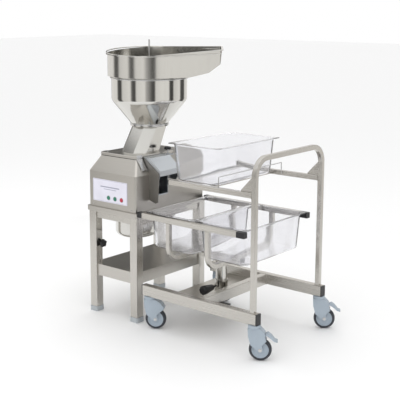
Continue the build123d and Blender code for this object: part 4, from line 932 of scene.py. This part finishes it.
@dataclass
class Panel:
    """The control film's border and stripes, the bezels and the domed buttons."""

    front_y: float = -26.5 * MM
    ring: float = 14.0 * MM

    def make(self, wardrobe: Wardrobe) -> None:
        """Builds the buttons with their bezels, and the film's printed lines as thin raised strips."""
        for node, finish in (("start_button", "green_button"), ("pulse_button", "green_button"),
                             ("stop_button", "red_button")):
            low, high = (np.array(v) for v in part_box(node))
            centre = (low + high) / 2
            radius = (high - low)[0] / 2
            where = local_frame((centre[0], high[1], centre[2]), (0, -1, 0))
            length = high[1] - low[1]
            profile = rounded_profile(
                np.array([[radius, 0.0], [radius, length - 1.6 * MM], [radius - 1.6 * MM, length - 0.3 * MM],
                          [radius * 0.6, length - 0.9 * MM], [0.3 * MM, length - 1.2 * MM]]),
                0.8 * MM,
            )
            Piece(f"{node}_cap", node, finish).add(turned(profile, where, sides=48)).build(
                wardrobe[finish], replaces=(node,)
            )
            bezel = rounded_profile(
                np.array([[radius + 0.5 * MM, 0.0], [self.ring, 0.0], [self.ring - 0.4 * MM, 1.0 * MM],
                          [radius + 0.6 * MM, 1.2 * MM]]),
                0.4 * MM,
                steps=3,
            )
            face = local_frame((centre[0], self.front_y, centre[2]), (0, -1, 0))
            ring = turned(bezel, face, sides=48)
            Piece(f"{node}_bezel", "stand", "panel_film").add(ring, looped=True).build(
                wardrobe["button_ring"]
            )
        low, high = (np.array(v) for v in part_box("control_panel"))
        centre, half = (low + high) / 2, (high - low) / 2
        sizes = ((half[0] - 3.0 * MM, half[2] - 3.0 * MM), (half[0] - 4.2 * MM, half[2] - 4.2 * MM))
        loops = rounded_box_loop(
            np.array([sizes[0][0], sizes[0][0], sizes[1][0], sizes[1][0]]),
            np.array([sizes[0][1], sizes[0][1], sizes[1][1], sizes[1][1]]),
            np.array([4.0, 4.0, 3.0, 3.0]) * MM,
        )
        depth = np.array([0.0, 0.25, 0.25, 0.0])[:, None] * MM
        y = low[1] + 0.05 * MM - depth * np.ones(loops.shape[1])
        ring = np.stack([loops[..., 0] + centre[0], y, loops[..., 1] + centre[2]], -1)
        piece = Piece("panel_border_line", "stand", "panel_film").add(ring, looped=True)
        for width, height, z in ((70.0, 3.0, 22.0), (46.0, 1.6, 10.0)):
            bar = rounded_box_loop(
                np.full(2, width) * MM, np.full(2, height) * MM, np.full(2, height * 0.9) * MM
            )
            y = low[1] + np.array([[0.05], [-0.25]]) * MM * np.ones(bar.shape[1])
            piece.add(np.stack([bar[..., 0] + centre[0], y, bar[..., 1] + centre[2] + z * MM], -1))
        piece.build(wardrobe["panel_border"])


@dataclass
class Joints:
    """Weld beads round the tube joints, and the screws that hold the covers."""

    bead: float = 1.9 * MM
    ripple: float = 0.25
    ripple_pitch: float = 3.2 * MM

    def loop(
        self, centre: tuple, half: tuple, axis: tuple, lead: tuple, corner: float = 3.0 * MM
    ) -> np.ndarray:
        """A rippled bead round a tube's end, square with rounded corners, or round.

        The bead's radius is bead (1 + ripple sin(2 pi s / pitch)), with s the length along it.

        Args:
            centre: middle of the joint.
            half: half sizes of the tube along the frame's first two axes.
            axis: direction of the tube.
            lead: direction of the tube's first side.
            corner: radius of the tube's corners.

        Returns:
            Points as rows x columns x 3.
        """
        flat = rounded_box_loop(np.array([half[0]]), np.array([half[1]]), np.array([corner]), steps=8)[0]
        closed = np.vstack([flat, flat[:1]])
        legs = np.linalg.norm(np.diff(closed, axis=0), axis=1)
        total = np.concatenate([[0.0], np.cumsum(legs)])
        s = np.linspace(0.0, total[-1], int(total[-1] / (self.ripple_pitch / 4)), endpoint=False)
        across, along = (np.interp(s, total, closed[:, k]) for k in (0, 1))
        path = np.stack([across, along, np.zeros(len(s))], -1)
        count = max(1, round(total[-1] / self.ripple_pitch))
        radius = self.bead * (1 + self.ripple * np.sin(2 * np.pi * s / total[-1] * count))
        return tube_grid(placed(path, local_frame(centre, axis, lead)), radius, 8, True)

    def welds(self, wardrobe: Wardrobe) -> None:
        """Lays the beads of the stand, the trolley and the lower tier."""
        x_axis, y_axis, z_axis = (1, 0, 0), (0, 1, 0), (0, 0, 1)
        base_low, base_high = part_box("trolley_base")
        handle_low, handle_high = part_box("push_handle")
        half, lift = 12.5 * MM, 0.8 * MM
        upper_rail_z, crossbar_x, crossbar_z = 0.7975, 0.451, 0.203
        trolley = Piece("trolley_welds", "trolley", "brushed_stainless")
        upright_x = (handle_low.x + handle_high.x) / 2
        for y in (handle_low.y + half, handle_high.y - half):
            foot = (upright_x, y, base_high.z + lift)
            rail = (handle_low.x - lift, y, upper_rail_z)
            trolley.add(self.loop(foot, (half, half), z_axis, x_axis), looped=True)
            trolley.add(self.loop(rail, (half, half), x_axis, y_axis), looped=True)
        for y, side in ((base_low.y + 38.8 * MM, 1), (base_high.y - 38.8 * MM, -1)):
            bar = (crossbar_x, y, crossbar_z)
            trolley.add(self.loop(bar, (19.0 * MM, 28.0 * MM), (0, side, 0), x_axis), looped=True)
        trolley.build(wardrobe["weld_bead"])
        tier = Piece("tier_welds", "tier", "brushed_stainless")
        rail_low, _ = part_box("tier_rails")
        for node in ("left_hoop", "right_hoop"):
            low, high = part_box(node)
            x = (low.x + high.x) / 2
            for y in (low.y + half, high.y - half):
                tier.add(self.loop((x, y, rail_low.z - 0.8 * MM), (half, half), z_axis, x_axis), looped=True)
        low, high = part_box("spreader")
        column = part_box("lift_column")
        tier.add(
            self.loop(((column[0].x + column[1].x) / 2, (low.y + high.y) / 2, low.z - 0.8 * MM),
                      (30.0 * MM, 30.0 * MM), z_axis, x_axis, 29.9 * MM),
            looped=True,
        )
        tier.build(wardrobe["weld_bead"])
        stand = Piece("stand_welds", "stand", "brushed_stainless")
        frame_low, frame_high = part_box("top_frame")
        z = (frame_high.z + frame_high.z - 62.0 * MM) / 2
        for y in (frame_low.y + 10.0 * MM, frame_high.y - 10.0 * MM):
            for x, side in ((-0.2742, 1), (-0.0258, -1)):
                stand.add(self.loop((x, y, z), (10.0 * MM, 31.0 * MM), (side, 0, 0), y_axis), looped=True)
        for x in (frame_low.x + 10.0 * MM, frame_high.x - 10.0 * MM):
            for y, side in ((0.0258, 1), (0.4942, -1)):
                stand.add(self.loop((x, y, z), (10.0 * MM, 31.0 * MM), (0, side, 0), x_axis), looped=True)
        stand.build(wardrobe["weld_bead"])

    def screw(self, where: np.ndarray, radius: float) -> np.ndarray:
        """A button-head screw with a hexagonal socket.

        The head's outline is a circle, and the socket's radius at angle a is that of a hexagon,
        cos(30) / cos((a mod 60) - 30) times its half width.

        Args:
            where: frame at the screw's seat, third axis outwards.
            radius: the head's radius.

        Returns:
            Points as rows x columns x 3.
        """
        a = np.linspace(0.0, 2 * np.pi, 48, endpoint=False)
        hexagon = np.cos(np.pi / 6) / np.cos(np.mod(a, np.pi / 3) - np.pi / 6)
        rows = (
            (1.00, 0.00, 0), (1.00, 0.18, 0), (0.94, 0.42, 0), (0.78, 0.62, 0), (0.58, 0.72, 0),
            (0.46, 0.72, 1),
            (0.46, 0.30, 1), (0.05, 0.26, 1),
        )
        r = np.array([radius * share * (hexagon if hexed else np.ones(48)) for share, _, hexed in rows])
        h = np.array([[height * radius] * 48 for _, height, _ in rows])
        grid = np.stack([r * np.cos(a), r * np.sin(a), h], -1)
        return placed(grid.reshape(-1, 3), where).reshape(len(rows), 48, 3)

    def screws(self, wardrobe: Wardrobe) -> None:
        """Sets the screws of the hood, the head plate and the housing's foot."""
        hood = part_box("discharge_hood")[1]
        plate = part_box("head_plate")
        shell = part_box("housing_shell")
        stand = Piece("cover_screws", "stand", "machined_steel")
        for y in (0.099, 0.225):
            stand.add(self.screw(local_frame((hood.x - 90.0 * MM, y, hood.z), (0, 0, 1)), 4.0 * MM))
        for x in (shell[0].x + 30.0 * MM, shell[1].x - 30.0 * MM):
            stand.add(self.screw(local_frame((x, shell[0].y, shell[0].z + 14.0 * MM), (0, -1, 0)), 3.5 * MM))
            stand.add(self.screw(local_frame((x, shell[1].y, shell[0].z + 14.0 * MM), (0, 1, 0)), 3.5 * MM))
        for y in (0.09, 0.26, 0.43):
            stand.add(self.screw(local_frame((shell[0].x, y, shell[0].z + 14.0 * MM), (-1, 0, 0)), 3.5 * MM))
        stand.build(wardrobe["machined_part"])
        head = Piece("head_screws", "feed_head", "machined_steel")
        for x in (-0.262, -0.048):
            for y in (0.062, 0.318):
                head.add(self.screw(local_frame((x, y, plate[1].z - 1.0 * MM), (0, 0, 1)), 4.0 * MM))
        head.build(wardrobe["machined_part"])

    def make(self, wardrobe: Wardrobe) -> None:
        """Builds the welds and the screws."""
        self.welds(wardrobe)
        self.screws(wardrobe)


# ================================ studio ==========================================================


@dataclass
class Studio:
    """A plain pale floor, soft light and the camera."""

    azimuth: float = math.radians(40.3245)
    pitch: float = math.radians(10.0)
    place: tuple = (3.20872, -3.43403, 1.69103)
    lens: float = 82.69
    shift: tuple = (0.05295, -0.09405)
    floor_size: float = 60.0
    room_light: float = 1.0
    card_distance: float = 2.6
    card_height: float = 2.6
    card_centre: tuple = (0.2, 0.2)
    card_warmth: tuple = (1.0, 0.985, 0.96)
    card_tones: tuple = (
        (0, 0.95), (14, 1.0), (18, 0.10), (30, 0.06), (34, 0.80), (60, 1.0), (66, 0.12), (84, 0.10),
        (90, 0.85), (128, 0.95), (134, 0.14), (150, 0.10), (156, 0.90), (196, 1.0), (202, 0.12), (214, 0.08),
        (220, 0.85), (246, 1.0), (252, 0.16), (262, 0.07), (267, 0.90), (292, 1.0), (298, 0.55), (316, 0.12),
        (324, 0.09), (329, 0.90), (352, 1.0), (360, 0.95),
    )

    def floor(self) -> None:
        """Lays the floor, as a wide sheet whose height is zero everywhere."""
        half = self.floor_size / 2
        mesh = bpy.data.meshes.new("studio_floor")
        corners = [(-half, -half, 0), (half, -half, 0), (half, half, 0), (-half, half, 0)]
        mesh.from_pydata(corners, [], [(0, 1, 2, 3)])
        material = bpy.data.materials.new("studio_floor")
        material.use_nodes = True
        shader = material.node_tree.nodes["Principled BSDF"]
        shader.inputs["Base Color"].default_value = (0.93, 0.93, 0.93, 1.0)
        shader.inputs["Roughness"].default_value = 0.7
        mesh.materials.append(material)
        obj = bpy.data.objects.new("studio_floor", mesh)
        bpy.context.scene.collection.objects.link(obj)

    def area(self, name: str, place: tuple, aim: tuple, size: tuple, power: float) -> None:
        """Hangs a soft box.

        Args:
            name: the light's name.
            place: where it hangs.
            aim: the point that it faces.
            size: width and height.
            power: its power in watts.
        """
        light = bpy.data.lights.new(name, "AREA")
        light.shape = "RECTANGLE"
        light.size, light.size_y = size
        light.energy = power
        obj = bpy.data.objects.new(name, light)
        away = np.asarray(place, float) - np.asarray(aim, float)
        away /= np.linalg.norm(away)
        where = local_frame(place, tuple(away), (1.0, 0.0, 0.0))
        matrix = np.eye(4)
        matrix[:3, :] = where
        obj.matrix_world = [list(column) for column in matrix.T]
        bpy.context.scene.collection.objects.link(obj)

    def world(self) -> None:
        """Surrounds the object with an even pale room."""
        world = bpy.data.worlds.new("pale_room")
        bpy.context.scene.world = world
        world.use_nodes = True
        room = world.node_tree.nodes["Background"]
        room.inputs["Color"].default_value = (1.0, 1.0, 1.0, 1.0)
        room.inputs["Strength"].default_value = self.room_light

    def cards(self) -> None:
        """Stands a ring of pale and dark cards round the object, seen only in its reflections.

        The ring is a cylinder wall. Each card's tone is painted on as an attribute, worked out from
        its angle by straight lines between the stops.
        """
        a = np.linspace(0.0, 2 * np.pi, 721)
        heights = np.array([0.0, self.card_height])
        angles, z = np.meshgrid(a, heights)
        verts = np.stack([self.card_distance * np.cos(angles), self.card_distance * np.sin(angles), z], -1)
        verts[..., :2] += np.array(self.card_centre)
        mesh = bpy.data.meshes.new("reflection_cards")
        n = len(a)
        i = np.arange(n - 1)
        quads = np.stack([i, i + 1, n + i + 1, n + i], -1)
        mesh.from_pydata(verts.reshape(-1, 3).tolist(), [], quads.tolist())
        degrees = np.degrees(angles.ravel())
        tone = np.interp(degrees, [s[0] for s in self.card_tones], [s[1] for s in self.card_tones])
        paint = mesh.color_attributes.new("tone", "FLOAT_COLOR", "POINT")
        warm = [tone * share for share in self.card_warmth]
        paint.data.foreach_set("color", np.stack([*warm, np.ones(len(tone))], -1).ravel())
        material = bpy.data.materials.new("reflection_cards")
        material.use_nodes = True
        nodes, links = material.node_tree.nodes, material.node_tree.links
        nodes.clear()
        out, glow = nodes.new("ShaderNodeOutputMaterial"), nodes.new("ShaderNodeEmission")
        read = nodes.new("ShaderNodeAttribute")
        read.attribute_name = "tone"
        links.new(read.outputs["Color"], glow.inputs["Color"])
        links.new(glow.outputs[0], out.inputs["Surface"])
        mesh.materials.append(material)
        obj = bpy.data.objects.new("reflection_cards", mesh)
        bpy.context.scene.collection.objects.link(obj)
        obj.visible_camera = obj.visible_diffuse = obj.visible_shadow = False
        obj.visible_transmission = obj.visible_volume_scatter = False

    def camera(self) -> None:
        """Sets the camera up and looks slightly down through it."""
        data = bpy.data.cameras.new("studio_camera")
        data.sensor_width = 36.0
        data.lens = self.lens
        data.shift_x, data.shift_y = self.shift
        data.clip_end = 100.0
        obj = bpy.data.objects.new("studio_camera", data)
        obj.location = self.place
        obj.rotation_euler = (math.pi / 2 - self.pitch, 0.0, self.azimuth)
        bpy.context.scene.collection.objects.link(obj)
        bpy.context.scene.camera = obj

    def make(self) -> None:
        """Builds the floor, the room, the lights and the camera."""
        self.floor()
        self.world()
        self.cards()
        self.area("key_box", (1.2, -3.4, 3.4), (0.2, 0.2, 0.6), (2.6, 2.0), 22.0)
        self.area("side_box", (-3.6, -0.8, 2.4), (0.2, 0.2, 0.7), (1.6, 2.6), 12.0)
        self.area("top_box", (0.4, 0.6, 4.2), (0.3, 0.2, 0.6), (3.0, 3.0), 20.0)
        self.camera()
        bpy.context.scene.view_settings.view_transform = "Standard"


def main() -> None:
    """Builds the studio, dresses the frame and adds every piece in order."""
    Studio().make()
    wardrobe = Wardrobe()
    dress_frame(wardrobe)
    for part in (Pans(), Hopper(), HandKnobs(), Casters(), Panel(), Joints()):
        part.make(wardrobe)
        log.info("%s done", type(part).__name__)


if __name__ == "__main__":
    main()
